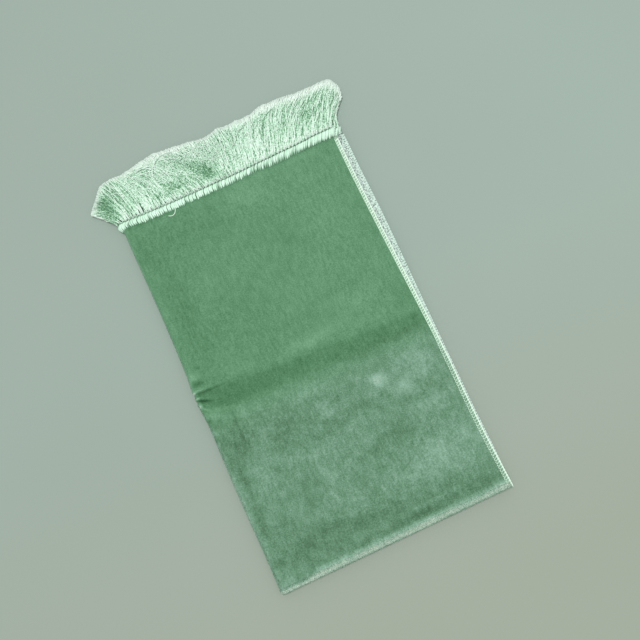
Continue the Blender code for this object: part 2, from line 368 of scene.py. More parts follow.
def tube_faces(number, stations, sides):
    """Quads and end caps for many tubes of equal make, their points in one array."""
    start = np.arange(number)[:, None, None] * stations * sides
    ring = np.arange(stations - 1)[None, :, None] * sides
    side = np.arange(sides)[None, None, :]
    after = (side + 1) % sides
    low, high = start + ring, start + ring + sides
    quads = np.stack([low + side, high + side, high + after, low + after], axis=-1).reshape(-1, 4)
    first = (start + side).reshape(number, sides)
    last = (start + (stations - 1) * sides + side).reshape(number, sides)[:, ::-1]
    return [quads, np.concatenate([first, last])]


def tube_points(paths, radius, sides, over=(0.0, 0.0, 1.0), flatten=1.0):
    """Rings round paths (number, stations, 3).

    A ring is centre + radius * (cosine * across + flatten * sine * up), where
    across is the path's direction crossed with over, and up is across crossed
    with the direction. A side, not a corner, is uppermost.
    """
    along = np.gradient(paths, axis=1)
    along /= np.linalg.norm(along, axis=-1, keepdims=True)
    across = np.cross(along, np.asarray(over))
    across /= np.linalg.norm(across, axis=-1, keepdims=True)
    up = np.cross(across, along)
    angle = math.pi / 2 + (2 * np.arange(sides) - 1) * math.pi / sides
    radius = np.broadcast_to(radius, paths.shape[:2])[:, :, None, None]
    spoke = np.cos(angle)[:, None] * across[:, :, None] + flatten * np.sin(angle)[:, None] * up[:, :, None]
    return paths[:, :, None] + radius * spoke


def folded(points):
    """Fold an array of flat points whose last axis is w, s, t, and keep them above the floor."""
    points = lay_folded(points[..., 0], points[..., 1], points[..., 2])
    points[..., 2] = np.maximum(points[..., 2], FLOOR_GAP)
    return points


# %% [markdown]
# ## Writing shaders as sums
#
# A material's pattern is arithmetic on what its texture nodes give. Wrapping a
# socket in a small class lets that arithmetic be written as a plain sum, and
# each sign adds its Math node. Everything else, such as a noise or a colour
# mix, comes from one method that takes the node's kind, settings and inputs.

# %% A socket that can be added and multiplied


class Value:
    """A socket in a material; + - and * on it add Math nodes."""

    def __init__(self, finish, socket):
        self.finish = finish
        self.socket = socket

    def math(self, operation, first, second):
        return self.finish.add("ShaderNodeMath", {"operation": operation}, {0: first, 1: second})

    def __add__(self, other):
        return self.math("ADD", self, other)

    def __sub__(self, other):
        return self.math("SUBTRACT", self, other)

    def __rsub__(self, other):
        return self.math("SUBTRACT", other, self)

    def __mul__(self, other):
        return self.math("MULTIPLY", self, other)

    __radd__ = __add__
    __rmul__ = __mul__


class Finish:
    """A material whose shader is one Principled BSDF with constants set on its sockets."""

    def __init__(self, name, roughness, sheen=0.0, sheen_roughness=0.5, sheen_tint=(1, 1, 1), specular=0.3):
        self.material = bpy.data.materials.new(name)
        self.material.use_nodes = True
        self.nodes = self.material.node_tree.nodes
        self.links = self.material.node_tree.links
        self.shader = self.nodes["Principled BSDF"]
        constants = {
            "Roughness": roughness,
            "Sheen Weight": sheen,
            "Sheen Roughness": sheen_roughness,
            "Sheen Tint": (*sheen_tint, 1.0),
            "Specular IOR Level": specular,
        }
        for socket, value in constants.items():
            self.shader.inputs[socket].default_value = value

    def add(self, kind, settings=None, inputs=None, output=0):
        """A node of any kind: settings first, then values or links for its inputs."""
        node = self.nodes.new(kind)
        for key, value in (settings or {}).items():
            setattr(node, key, value)
        for key, value in (inputs or {}).items():
            if isinstance(value, Value):
                self.links.new(value.socket, node.inputs[key])
            else:
                node.inputs[key].default_value = value
        return Value(self, node.outputs[output])

    def place(self, stretch=(1.0, 1.0, 1.0)):
        """Object coordinates, stretched along the axes."""
        where = self.add("ShaderNodeTexCoord", output="Object")
        return self.add("ShaderNodeMapping", {}, {"Vector": where, "Scale": stretch})

    def axis(self, letter):
        """One of the object coordinates, X, Y or Z."""
        return self.add("ShaderNodeSeparateXYZ", {}, {"Vector": self.place()}, output=letter)

    def noise(self, scale, detail=2.0, stretch=(1.0, 1.0, 1.0), roughness=0.5):
        inputs = {"Vector": self.place(stretch), "Scale": scale, "Detail": detail, "Roughness": roughness}
        return self.add("ShaderNodeTexNoise", {}, inputs, output="Fac")

    def attribute(self, name):
        return self.add("ShaderNodeAttribute", {"attribute_name": name}, output="Fac")

    def between(self, value, low, high):
        """0 where value is low, 1 where it is high, and even steps between them."""
        inputs = {"Value": value, "From Min": low, "From Max": high}
        return self.add("ShaderNodeMapRange", {"clamp": True}, inputs)

    def mix(self, amount, first, second):
        """A colour between two, by amount; each is a colour or a link."""
        first, second = [part if isinstance(part, Value) else (*part, 1.0) for part in (first, second)]
        settings = {"data_type": "RGBA", "clamp_factor": True}
        return self.add("ShaderNodeMix", settings, {0: amount, 6: first, 7: second}, output=2)

    def paint(self, colour, height=None, depth=0.0, strength=1.0):
        """Feed the shader its colour, and a bump of the given depth in metres."""
        self.links.new(colour.socket, self.shader.inputs["Base Color"])
        if height is not None:
            inputs = {"Height": height, "Distance": depth, "Strength": strength}
            bump = self.add("ShaderNodeBump", {}, inputs)
            self.links.new(bump.socket, self.shader.inputs["Normal"])
        return self.material


# %% [markdown]
# ## Colours as they are seen
#
# A finish is easiest to choose as the colour that it should show, from 0 to
# 255. A shader takes linear values instead, and flat ground here gets a little
# more light than it needs to show its own colour. So seen() turns a shown
# colour into linear values and divides them by that light. Thread and yarn are
# round and shade themselves, so most of theirs come from srgb() alone.

# %% Shown colours
LIGHT = 1.25  # how much light falls on flat ground, where 1 shows pure white as just white


def srgb(red, green, blue):
    """A screen colour from 0 to 255 as the linear values that a shader takes.

    Each value is taken as a share of 255. A small one is divided by 12.92. Any
    other gets 0.055 added, is divided by 1.055 and raised to the power of 2.4.
    """
    values = np.array([red, green, blue]) / 255
    linear = np.where(values < 0.04045, values / 12.92, ((values + 0.055) / 1.055) ** 2.4)
    return tuple(float(value) for value in linear)


def seen(red, green, blue):
    """The finish that shows as a screen colour where it lies flat: linear values over LIGHT."""
    return tuple(value / LIGHT for value in srgb(red, green, blue))


# %% [markdown]
# ## The velvet's finish
#
# Velvet pile is a forest of short upright fibres. Where a hand has brushed it
# one way it looks deep green, and where it lies the other way it looks pale
# and slightly blue, so the surface is never one colour. The lay of the pile,
# with painted shade and painted highlight added into it, is kept on the mesh as
# one number for each point, and noise breaks up its edges.
# Below the crease the rug was handled more, so a second number, rubbed, makes
# the mottling there stronger and cooler. Sheen gives the glow where the pile
# turns away from the eye. The woven back shows in narrow slits only: it is
# pale and specked, and shaded where its lay is low.

# %% Velvet pile
DEEPEST_PILE = (44, 84, 54)
PILE_SHADES = (
    # the lay where a shade sets in and where it is reached, then the shade on calm and on rubbed pile
    (-0.8, 0.0, (80, 127, 90), (78, 115, 86)),
    (0.0, 0.5, (102, 151, 114), (104, 145, 115)),
    (0.5, 1.2, (134, 180, 146), (146, 184, 162)),
    (1.2, 2.0, (196, 216, 198), (196, 216, 198)),
)


def velvet_pile():
    finish = Finish("velvet_pile", roughness=0.85, sheen=0.28, sheen_roughness=0.4,
                    sheen_tint=srgb(186, 222, 196), specular=0.1)
    lay_and_light = finish.attribute("lay_and_light")
    rubbed = finish.attribute("rubbed")
    cloud = finish.noise(scale=24, detail=3, roughness=0.6)
    blotch = finish.noise(scale=75, detail=3, roughness=0.65)
    streak = finish.noise(scale=260, detail=2, stretch=(1.0, 0.28, 1.0))
    grain = finish.noise(scale=560, detail=3, roughness=0.75)
    mottled = (cloud - 0.5) * (0.30 + 0.30 * rubbed) + (blotch - 0.5) * (0.35 + 0.50 * rubbed)
    # The lay also carries painted shade and painted highlight, so these shades show light as well as
    # brushing.
    brushed_and_lit = lay_and_light + mottled + (streak - 0.5) * 0.7 + (grain - 0.5) * (1.9 + 0.1 * rubbed)
    colour = seen(*DEEPEST_PILE)
    for low, high, calm_shade, rubbed_shade in PILE_SHADES:
        shade = finish.mix(rubbed, seen(*calm_shade), seen(*rubbed_shade))
        colour = finish.mix(finish.between(brushed_and_lit, low, high), colour, shade)
    height = grain * 0.7 + streak * 0.5 + blotch * 0.3
    return finish.paint(colour, height, depth=0.8 * MM, strength=0.5)


def woven_backing():
    finish = Finish("woven_backing", roughness=0.9, sheen=0.1, specular=0.15)
    speck = finish.noise(scale=400, detail=2, roughness=0.7)
    soft = finish.noise(scale=160, detail=2)
    pale = finish.mix(soft, seen(236, 255, 247), seen(206, 228, 217))
    colour = finish.mix(finish.between(speck, 0.56, 0.43), pale, seen(128, 146, 136))
    colour = finish.mix(finish.between(finish.attribute("lay_and_light"), 0.35, -0.10), colour, seen(84, 104, 92))
    return finish.paint(colour, speck, depth=0.5 * MM, strength=0.6)


pile = velvet_pile()
backing = woven_backing()

# %% [markdown]
# ## Thread and yarn finishes
#
# The overlock is a fine sewing thread in pale mint, and on the back of the
# cloth a whiter one. In a worn lane below the crease its throws are painted
# darker and greener: painted shade between them, with the green of the pile.
# The fringe yarn is softer: each thread carries a shade of its own, the yarn's
# uneven tone with painted shade on threads that lie deeper, and grows paler
# towards its frayed tip, which with painted light gives the fringe its bright
# rim. The heading is the same yarn, greener where pile covers the feet of its
# bundles, and the chain stitch over it is a darker thread, partly painted shade
# of its groove.

# %% Thread and yarn


def overlock_thread():
    finish = Finish("overlock_thread", roughness=0.7, sheen=0.2, specular=0.25)
    colour = finish.mix(finish.attribute("shade"), srgb(176, 212, 184), srgb(218, 240, 222))
    white = finish.mix(finish.attribute("shade"), srgb(182, 208, 194), srgb(214, 238, 226))
    colour = finish.mix(finish.attribute("behind"), colour, white)
    # Painted shade: in the worn lane the throws turn darker and greener, for the shade and the pile between
    # them.
    colour = finish.mix(finish.attribute("lane_shade"), colour, seen(154, 192, 162))
    return finish.paint(colour)


def fringe_yarn():
    finish = Finish("fringe_yarn", roughness=0.45, sheen=0.2, sheen_tint=srgb(206, 255, 220), specular=0.45)
    # Painted glints: a fine noise lightens and darkens the yarn along its twist, together with its uneven
    # tone.
    twist_glint = finish.noise(scale=470, detail=2, roughness=0.7)
    shade = finish.attribute("shade") + (twist_glint - 0.5) * 2.6
    body = finish.mix(finish.between(shade, 0.0, 0.5), srgb(84, 140, 98), srgb(186, 230, 198))
    body = finish.mix(finish.between(shade, 0.5, 1.0), body, srgb(236, 255, 242))
    # The pale tip colour is partly painted light on the fringe's rim.
    return finish.paint(finish.mix(finish.attribute("tip"), body, srgb(240, 255, 244)))


def heading_yarn():
    finish = Finish("heading_yarn", roughness=0.65, sheen=0.15, specular=0.3)
    strand = finish.attribute("shade") + (finish.noise(scale=430, detail=2, roughness=0.7) - 0.5) * 2.0
    colour = finish.mix(finish.between(strand, 0.0, 1.0), srgb(194, 230, 205), srgb(216, 244, 226))
    return finish.paint(finish.mix(finish.attribute("covered"), colour, seen(112, 164, 126)))


def chain_thread():
    finish = Finish("chain_thread", roughness=0.8, specular=0.2)
    # Darker than the yarn: partly the chain's own thread and partly painted shade of the groove between
    # bundles and roots.
    colour = finish.mix(finish.noise(scale=300), seen(112, 148, 124), seen(148, 182, 158))
    return finish.paint(colour)


thread = overlock_thread()
yarn = fringe_yarn()
heading = heading_yarn()
chain = chain_thread()

# %% [markdown]
# ## The velvet sheet
#
# The cloth is a closed sleeve: for every station along the rug a ring of
# points runs across the pile side and back along the woven side. The stations
# are close together where the cloth folds or creases and wider where it is
# calm. It is thinner at the long edges, where the overlock squeezes it. The
# pile under the overlock is pressed and shows paler, but less so below the
# crease, where the throws have drawn apart.

# %% Where the points go


def stations(*runs):
    """Join runs of (from, to, count) in mm into one rising row."""
    return np.unique(np.concatenate([np.linspace(a, b, n) for a, b, n in runs]).round(4)) * MM


EDGE = HALF_WIDTH / MM - 0.5  # where the sheet ends across and along, in mm
END = HALF_PILE / MM
FOLD = 9.5  # how far the lengthwise fold's stations reach from its middle, in mm
EDGE_THICKNESS = 0.55 * MM
EDGE_SQUEEZE = 7.0 * MM
GRIPPED = 6.0 * MM  # how wide the pale strip of gripped pile is
GRIP_FADE = 1.6 * MM
GRIP_PALE = 1.1
GRIP_WORN = 0.75  # how much less pale that strip is below the crease
GRIP_FALL = (200 * MM, 225 * MM)  # where it changes from one to the other

sheet_w = stations((-EDGE, -EDGE + 10, 7), (-EDGE + 10, -FOLD, 26), (-FOLD, FOLD, 27),
                   (FOLD, 50, 30), (50, EDGE - 10, 74), (EDGE - 10, EDGE, 8))
sheet_s = stations((-END, -FOLD, 40), (-FOLD, FOLD, 25), (FOLD, 236, 50), (236, 302, 60), (302, END, 58))
print("stations across and along:", len(sheet_w), len(sheet_s))

# %% [markdown]
# ## How the pile lies
#
# Handling leaves marks in velvet: brushed streaks and rubbed spots below the
# crease. Light and shade are painted into the same number: painted shade on a
# dark shelf in the valley, in the wrinkles and under the heading, and painted
# highlight on the ridge above the valley and where the cloth rolls over a fold,
# whose splayed pile tips are paler too. Each mark is a soft oval, placed where
# it can be seen, and one row of a table. The sum of the ovals, with a few long
# bands along the folds, is the lay that the velvet's finish reads: positive is
# pale, brushed pile or painted light.

# %% Marks in the pile
LAY_AND_LIGHT_PATCHES = (
    # x, y, half length and half width in mm on the folded rug, turn in degrees, strength
    # below the crease, brushed pale
    (236, 201, 12, 9, -15, 0.78),
    (262, 180, 14, 8, -20, 0.46),
    (295, 208, 30, 24, 0, 0.28),
    (62, 237, 24, 8, -12, 0.18),
    (140, 228, 24, 13, 5, 0.26),
    (155, 191, 9, 6, 10, 0.34),
    (42, 138, 14, 32, 5, 0.20),
    (82, 157, 7, 5, -10, 0.34),
    (120, 148, 18, 5, 0, 0.26),
    (117, 112, 5, 36, 0, 0.14),
    (292, 146, 30, 14, 10, 0.26),
    (265, 78, 30, 20, 12, 0.34),
    (310, 90, 22, 30, 0, 0.18),
    (228, 64, 16, 10, 25, 0.20),
    (170, 100, 60, 60, 0, 0.06),
    (250, 29, 70, 3, 3, 0.26),
    (15, 16, 14, 12, 0, 0.36),
    # below the crease, brushed deep
    (100, 200, 26, 16, -20, -0.20),
    (78, 182, 12, 12, 0, -0.28),
    (45, 208, 12, 12, 0, -0.26),
    (195, 208, 10, 8, 0, -0.22),
    (155, 170, 26, 9, 5, -0.24),
    (185, 182, 28, 8, 0, -0.26),
    (215, 122, 34, 15, 15, -0.26),
    (300, 163, 26, 6, 12, -0.16),
    (20, 205, 14, 22, 0, -0.24),
    (37, 215, 3, 36, 0, -0.20),
    (17, 118, 6, 70, 0, -0.24),
    (80, 52, 34, 9, 5, -0.42),
    (45, 72, 14, 12, 0, -0.22),
    (155, 40, 54, 11, 0, -0.38),
    (50, 34, 42, 13, 0, -0.24),
    (208, 19, 26, 7, 0, -0.34),
    (265, 32, 66, 11, 3, -0.20),
    (305, 24, 24, 7, 0, -0.10),
    # the folded side's pale fuzz, with painted highlight where it faces away from the light, and the deep
    # band along the cross fold's crest
    (3.2, 115, 115, 3.2, 90, 0.26),
    (195, 16, 150, 7, 0, -0.20),
    # painted shade in the valley and painted light on the ridge above it, with the pile's own lay there
    (50, 264, 40, 9, -6, -0.06),
    (65, 282, 34, 3, -2, -0.14),
    (265, 247, 50, 9, -3, -0.14),
    (175, 290, 40, 7, 3, 0.24),
    (165, 285, 12, 5, 0, 0.14),
    (258, 312, 30, 16, 10, 0.14),
    (312, 300, 14, 12, 0, -0.16),
    (25, 256, 22, 3, -16, 0.24),
    (50, 240, 6, 9, 0, 0.14),
    (14, 240, 10, 5, 0, -0.16),
    (38, 238, 3, 10, 0, -0.20),
    (58, 236, 3, 8, 0, -0.16),
    # above the crease
    (32, 400, 18, 90, 0, -0.20),
    (80, 500, 60, 26, 5, -0.12),
    (180, 517, 38, 19, 0, 0.20),
    (208, 440, 18, 26, 10, -0.10),
    (275, 450, 30, 70, 0, 0.10),
    (80, 425, 7, 14, 0, 0.16),
    (90, 350, 50, 50, 0, -0.10),
    (228, 380, 14, 30, 0, 0.08),
    (12, 505, 12, 40, 0, -0.12),
    # shaded under the heading at the folded side, and dusted with its fibres towards the open side
    (45, 541, 50, 4, 0, -0.14),
    (250, 536, 70, 5, 0, 0.14),
    # painted shade in the two wrinkles at the folded side, painted light on the ridges by them, and the
    # fold's pale specks
    (17, 285.4, 22, 1.8, -1, -0.70),
    (8, 275.0, 12, 1.5, -22, -0.95),
    (0, 288.8, 4, 1.5, 0, 1.00),
    (9, 290.0, 7, 1.6, 0, 0.40),
    (1, 280.7, 4, 1.3, 0, 0.90),
    (2, 269.6, 3, 2.6, 0, 1.10),
    (5, 264.0, 5, 1.2, -45, 0.80),
    (9, 299.0, 10, 4, 0, -0.60),
    (7, 310.0, 5, 7, 0, 0.42),
    (18, 320.0, 5, 2, -20, -0.40),
    (16, 250.0, 13, 6, -45, 0.34),
    (4, 246.0, 4, 3, 0, -0.55),
    (3, 262.5, 2, 4, 0, -0.40),
    (6, 228.0, 5, 4, 0, 0.25),
    (3, 218.0, 4, 3, 0, -0.40),
)

# %% The lay of the pile
CALM_LAY = 0.44  # where nothing has brushed the pile
BELOW_LAY = 0.11  # how much paler it is below the crease
RUBBED_FALL = (205 * MM, 268 * MM)  # where the rubbed half ends
# Painted shade in the valley: the dark shelf below the crease's line, together with the pile's deeper lay
# there.
VALLEY_DARK = 0.33
VALLEY_TOP = 4 * MM  # above the crease's line, where the dark sets in
VALLEY_EDGE = (4 * MM, 12 * MM)  # how softly it does, at the folded side and at the open one
VALLEY_REACH = 36 * MM  # below the line, where the dark has faded
VALLEY_FADE = 20 * MM
# The folds' pale crests are painted highlight, the sheen where the pile rolls away, together with the paler
# tips of the splayed pile.
CREST_GROWS = (35 * MM, 65 * MM)  # the x where the cross fold's pale crest grows from narrow to wide
CREST_Y = (2.2 * MM, 4.0 * MM)  # its middle, where it is narrow and where it is wide
CREST_HALF = (3.6 * MM, 6.0 * MM)  # its half length there
CREST_PALE = 1.25
SIDE_CREST = (-0.2 * MM, 2.9 * MM, 0.70)  # x, half length and paleness of the lengthwise fold's crest: painted highlight, with its paler pile tips
HEADING_SHADOW = (541 * MM, 4 * MM, -0.10)  # y, half length and paleness of the painted shadow along the heading's foot


def valley_shade(x, y):
    """1 on the valley's dark shelf, painted shade with the pile's deeper lay: a soft rise at its top times
    a slow fade below.
    """
    above = y - crease_line(x)
    edge = blend(VALLEY_EDGE, smooth_step(x / FOLDED_WIDTH))
    return smooth_step((VALLEY_TOP - above) / edge) * smooth_step((above + VALLEY_REACH) / VALLEY_FADE)


def pile_lay_and_light(x, y):
    """The calm lay, a little paler below the crease, plus marks and the folds' painted highlights, less the
    valley's painted shade.
    """
    wide = rise(x, CREST_GROWS)
    crest = CREST_PALE * bell(y - blend(CREST_Y, wide), blend(CREST_HALF, wide))
    bands = crest + band(x, SIDE_CREST) + band(y, HEADING_SHADOW)
    lay_and_light = CALM_LAY + BELOW_LAY * fall(y, RUBBED_FALL) + humps(x, y, LAY_AND_LIGHT_PATCHES)
    return lay_and_light + bands - VALLEY_DARK * valley_shade(x, y)


# %% Velvet sheet
edge_distance = EDGE * MM - np.abs(sheet_w)
half_thick = EDGE_THICKNESS + (HALF_THICK - EDGE_THICKNESS) * smooth_step(edge_distance / EDGE_SQUEEZE)
ring_w = np.concatenate([sheet_w, sheet_w[::-1]])
ring_t = np.concatenate([half_thick, -half_thick[::-1]])
sheet_flat = np.stack(np.broadcast_arrays(ring_w[None, :], sheet_s[:, None], ring_t[None, :]), axis=-1)
sheet_points = folded(sheet_flat)
rows, columns = sheet_points.shape[:2]

# The two ends close with strips between the pile side and the woven side.
across = np.arange(len(sheet_w) - 1)
back = columns - 1 - across
start_cap = np.stack([across, back, back - 1, across + 1], axis=1)
end_cap = (start_cap + (rows - 1) * columns)[:, ::-1]
sleeve = sleeve_faces(rows, columns)[:, ::-1]
on_pile = np.tile(np.arange(columns) < len(sheet_w) - 1, rows - 1)
sheet_looks = np.concatenate([np.where(on_pile, 0, 1), np.ones(2 * len(across))])

sheet_x, sheet_y = sheet_points[..., 0].ravel(), sheet_points[..., 1].ravel()
ring_distance = np.concatenate([edge_distance, edge_distance[::-1]])
gripped = np.broadcast_to(smooth_step((GRIPPED - ring_distance) / GRIP_FADE), (rows, columns)).ravel()
sheet_values = {
    "lay_and_light": pile_lay_and_light(sheet_x, sheet_y) + gripped * (GRIP_PALE - GRIP_WORN * fall(sheet_y, GRIP_FALL)),
    "rubbed": fall(sheet_y, RUBBED_FALL),
}
velvet_sheet = add_piece("velvet_sheet", sheet_points, [sleeve, start_cap, end_cap], [pile, backing],
                         sheet_looks, sheet_values)
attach(velvet_sheet, "root")
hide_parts("velvet_cloth")

# %% [markdown]
# ## Pile along the folds
#
# On flat cloth the pile is too fine to see as fibres, and the finish shows it.
# Where the cloth turns over a fold the fibres splay apart, and their pale tips
# make the edge look dusted. So tufts are set there one by one: each is a thin
# three sided spike that stands on the pile side and leans a little at random.

# %% Tufts on the folds
TUFT_RADIUS = 0.26 * MM
TUFT_HEIGHTS = (0.5 * MM, 1.15 * MM)  # lowest and highest above the pile's face
TUFT_FOOT = 0.15 * MM  # how far the feet are under it
TUFT_LEAN = 0.45 * MM
TUFT_LAY = (0.05, 0.35)  # how much paler than the pile there, and how much that varies
TUFT_BANDS = (
    # from and to in w, from and to in s, number; in mm
    ((-4.5, 4.5), (0, 542), 10000),
    ((-3, 334), (-1.5, 8), 10000),
)


def add_tufts(name, seed):
    """Spikes whose three feet are TUFT_RADIUS round a point just under the pile's face."""
    rng = np.random.default_rng(seed)
    w, s = np.concatenate([
        np.stack([rng.uniform(*across_band, number), rng.uniform(*along_band, number)], axis=1)
        for across_band, along_band, number in TUFT_BANDS]).T * MM
    number = len(w)
    turn = rng.uniform(0, 2 * math.pi, number)[:, None] + np.arange(3) * 2 * math.pi / 3
    lean = rng.normal(0, TUFT_LEAN, (2, number))
    points = np.empty((number, 4, 3))
    points[:, :3, 0] = w[:, None] + TUFT_RADIUS * np.cos(turn)
    points[:, :3, 1] = s[:, None] + TUFT_RADIUS * np.sin(turn)
    points[:, :3, 2] = HALF_THICK - TUFT_FOOT
    tip = HALF_THICK + rng.uniform(*TUFT_HEIGHTS, number)
    points[:, 3] = np.stack([w + lean[0], s + lean[1], tip], axis=1)
    first = 4 * np.arange(number)[:, None]
    faces = [first + corner for corner in ([0, 1, 3], [1, 2, 3], [2, 0, 3], [2, 1, 0])]
    points = folded(points)
    # The tufts take the pile's lay there, with the painted highlight of the crests.
    lay_and_light = pile_lay_and_light(points[:, :1, 0], points[:, :1, 1]) + rng.normal(*TUFT_LAY, (number, 1))
    values = {"lay_and_light": np.repeat(lay_and_light.ravel(), 4), "rubbed": 1.0}
    piece = add_piece(name, points, faces, [pile], None, values)
    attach(piece, "root")
    return piece


tufts = add_tufts("pile_on_folds", 5)

# %% [markdown]
# ## The overlocked edges
#
# An overlock machine throws a thread round the raw edge for every stitch and
# locks it with two more: a needle thread along the inside and a purl of loops
# along the very edge. Here each throw is a flat tube that goes from the needle
# line over the edge and back underneath, and the needle line and the purl are
# long tubes that rise and dip once a stitch. Below the crease the edge is more
# worn: there the overlock has spread, and in a lane between the needle line and
# the purl the pile shows between the throws. There the throws are painted darker
# and greener, painted shade with the green of the pile.

# %% Overlock stitches
STITCH = 3.95 * MM
STITCH_SLANT = 0.40
THROW_RADIUS = 1.15 * MM
THROW_FLATTEN = 0.5
THROW_SIDES = 6
THROW_SCATTER = 0.28 * MM  # how far a throw strays along the edge
THROW_FATNESS = (0.85, 1.20)  # thinnest and fattest throw
THROW_SHADES = (0.3, 1.0)
SLANT_CENTRE = 3 * MM  # from the edge, where a slanted throw is at its stitch's middle
LINE_SIDES = 5
BEHIND = -0.2 * MM  # below this height through the cloth the thread is the whiter one
SPREAD = (0.94, 1.10)  # the overlock's width as a share of THROW_PATH's, above the crease and below it
SHADE_LANE = (4.4 * MM, 1.2 * MM)  # from the edge and half length: the lane where the throws are painted darker and greener, painted shade with the pile between them
THROW_PATH = (
    # distance in from the edge and height through the cloth in mm, then how fat
    (6.2, 0.55, 0.80),
    (5.2, 1.02, 0.85),
    (3.6, 1.12, 0.90),
    (2.2, 1.08, 1.10),
    (1.0, 0.80, 1.25),
    (0.5, 0.00, 1.00),
    (1.0, -0.80, 0.60),
    (3.0, -1.00, 0.50),
    (5.9, -0.70, 0.50),
)
EDGE_LINES = (
    # in from the edge, height, dip, swing, radius; in mm, and shade
    (6.1, 1.00, 0.20, 0.10, 0.55, 0.6),
    (1.15, 1.00, 0.30, 0.30, 0.90, 1.0),
    (0.50, -0.30, 0.35, 0.20, 0.45, 1.0),
    (2.2, -1.00, 0.20, 0.90, 0.38, 0.8),
    (5.6, -0.95, 0.15, 0.80, 0.40, 0.9),
)


def worn(s):
    """1 below the crease and 0 above it."""
    return fall(np.abs(s), GRIP_FALL)


def from_edge(inward, s):
    """The distance inward, spread as the overlock is there."""
    return inward * blend(SPREAD, worn(s))


def shade_in_lane(shape):
    """How much painted shade a thread takes: a bell about the shaded lane, times how worn the edge is."""
    lane, half_length = SHADE_LANE
    inward = HALF_WIDTH - np.abs(shape[..., 0])
    return bell(inward - lane, half_length) * worn(shape[..., 1])


def overlock_throws(side, rng):
    """Flattened tubes round the edge, one a stitch; side is 1 or -1, the sign of w."""
    count = int(PILE_LENGTH / STITCH)
    centre = (np.arange(count) + 0.5) * STITCH - HALF_PILE
    inward, height, fat = np.array(THROW_PATH).T * np.array([[MM], [MM], [1.0]])
    throws = np.empty((count, len(THROW_PATH), 3))
    throws[..., 0] = side * (HALF_WIDTH - from_edge(inward, centre[:, None]))
    throws[..., 1] = centre[:, None] - STITCH_SLANT * (inward - SLANT_CENTRE) * np.sign(height)
    throws[..., 1] += rng.normal(0, THROW_SCATTER, (count, 1))
    throws[..., 2] = height
    fat = fat * rng.uniform(*THROW_FATNESS, (count, 1))
    shape = tube_points(throws, THROW_RADIUS * fat, THROW_SIDES, over=(0.0, 1.0, 0.0))
    middle = shape.mean(axis=2, keepdims=True)
    return middle + (shape - middle) * np.array([THROW_FLATTEN, 1.0, THROW_FLATTEN])


def running_thread(side, inward, height, dip, swing, steps=4):
    """One thread along the edge that dips by dip and swings sideways once a stitch."""
    count = int(PILE_LENGTH / STITCH) * steps
    s = (np.arange(count) + 0.5) * STITCH / steps - HALF_PILE
    phase = 2 * math.pi * s / STITCH
    w = side * (HALF_WIDTH - from_edge(inward, s) + swing * np.cos(phase))
    return np.stack([w, s, height + dip * np.sin(phase)], axis=1)[None]


def join_parts(parts, faces):
    """Stack point arrays and move each part's face numbers past the points before it."""
    points = [part.reshape(-1, 3) for part in parts]
    start = np.cumsum([0] + [len(part) for part in points])
    return np.concatenate(points), [f + offset for group, offset in zip(faces, start) for f in group]


def add_overlock(name, side, seed, node):
    rng = np.random.default_rng(seed)
    throws = overlock_throws(side, rng)
    shapes = [throws]
    shade = [np.repeat(rng.uniform(*THROW_SHADES, len(throws)), throws[0].size // 3)]
    for inward, height, dip, swing, radius, tone in EDGE_LINES:
        path = running_thread(side, inward * MM, height * MM, dip * MM, swing * MM)
        shapes.append(tube_points(path, radius * MM, LINE_SIDES))
        shade.append(np.full(shapes[-1].size // 3, tone))
    values = {
        "shade": np.concatenate(shade),
        "behind": np.concatenate([(shape[..., 2] < BEHIND).ravel() for shape in shapes]),
        "lane_shade": np.concatenate([shade_in_lane(shape).ravel() for shape in shapes]),
    }
    points, faces = join_parts([folded(shape) for shape in shapes],
                               [tube_faces(*shape.shape[:3]) for shape in shapes])
    piece = add_piece(name, points, faces, [thread], None, values)
    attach(piece, "root")
    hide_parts(node)
    return piece


overlock_right = add_overlock("overlock_stitches_right", 1, 11, "overlock_right")
overlock_left = add_overlock("overlock_stitches_left", -1, 12, "overlock_left")

# %% [markdown]
# ## The fringe headings
#
# The heading is a narrow band of plump yarn bundles, laid side by side and
# slanted a little, over the rug's green end. A chain stitch holds them down
# along their outer ends, and past it the same yarn comes out as fringe. The
# stitch is darker, partly as its own darker thread and partly as painted shade
# of its groove.
# It was sewn on by eye, so on the top layer it climbs away from the pile and
# grows wider towards the open side. The top layer's heading can swell, most at
# the fold, and the others are pressed flat by what lies on them.
#
# The bundles' feet lie on the pile, each at a distance of its own, and the
# pile's fibres stand up through them. So each strand also carries a number
# that says how far it is covered: a little at its foot, more about two thirds
# of the way to the open side, and a few strands wholly.

# %% Heading sizes
HEADING_COUNT = 120
BUNDLE = 2 * (HALF_WIDTH - HEADING_SHORT) / HEADING_COUNT
TOP_LIMITS = (-5 * MM, 3 * MM)  # the w where the pressed layer turns into the free one
CROWN = 0.75 * MM
KNOB = (1 * MM, 4 * MM, 1.2 * MM)  # w, half length and height of the swelling round the fold
HEADING_LINES = (
    # x on the folded rug, then how far past the pile's end the bundles start and the chain runs, in mm
    (0, -3.2, 9.8),
    (20, -1.6, 9.8),
    (40, -3.6, 8.6),
    (65, -4.1, 8.0),
    (100, -4.0, 7.5),
    (125, -3.7, 7.7),
    (157, -4.3, 8.2),
    (170, -3.8, 8.0),
    (190, -2.7, 8.5),
    (215, -2.3, 9.6),
    (250, -3.6, 10.8),
    (280, -1.5, 11.5),
    (301, -1.0, 13.3),
    (326, -0.6, 13.9),
)
PRESSED_LINES = (0.5, 12.5)  # the same for the end whose heading lies inside
CHAIN_SWING = 1.0 * MM


def on_top(w, end):
    """1 on the outermost layer's upper side and round its fold, 0 on what is pressed."""
    return rise(w, TOP_LIMITS) * (1.0 if end > 0 else 0.0)


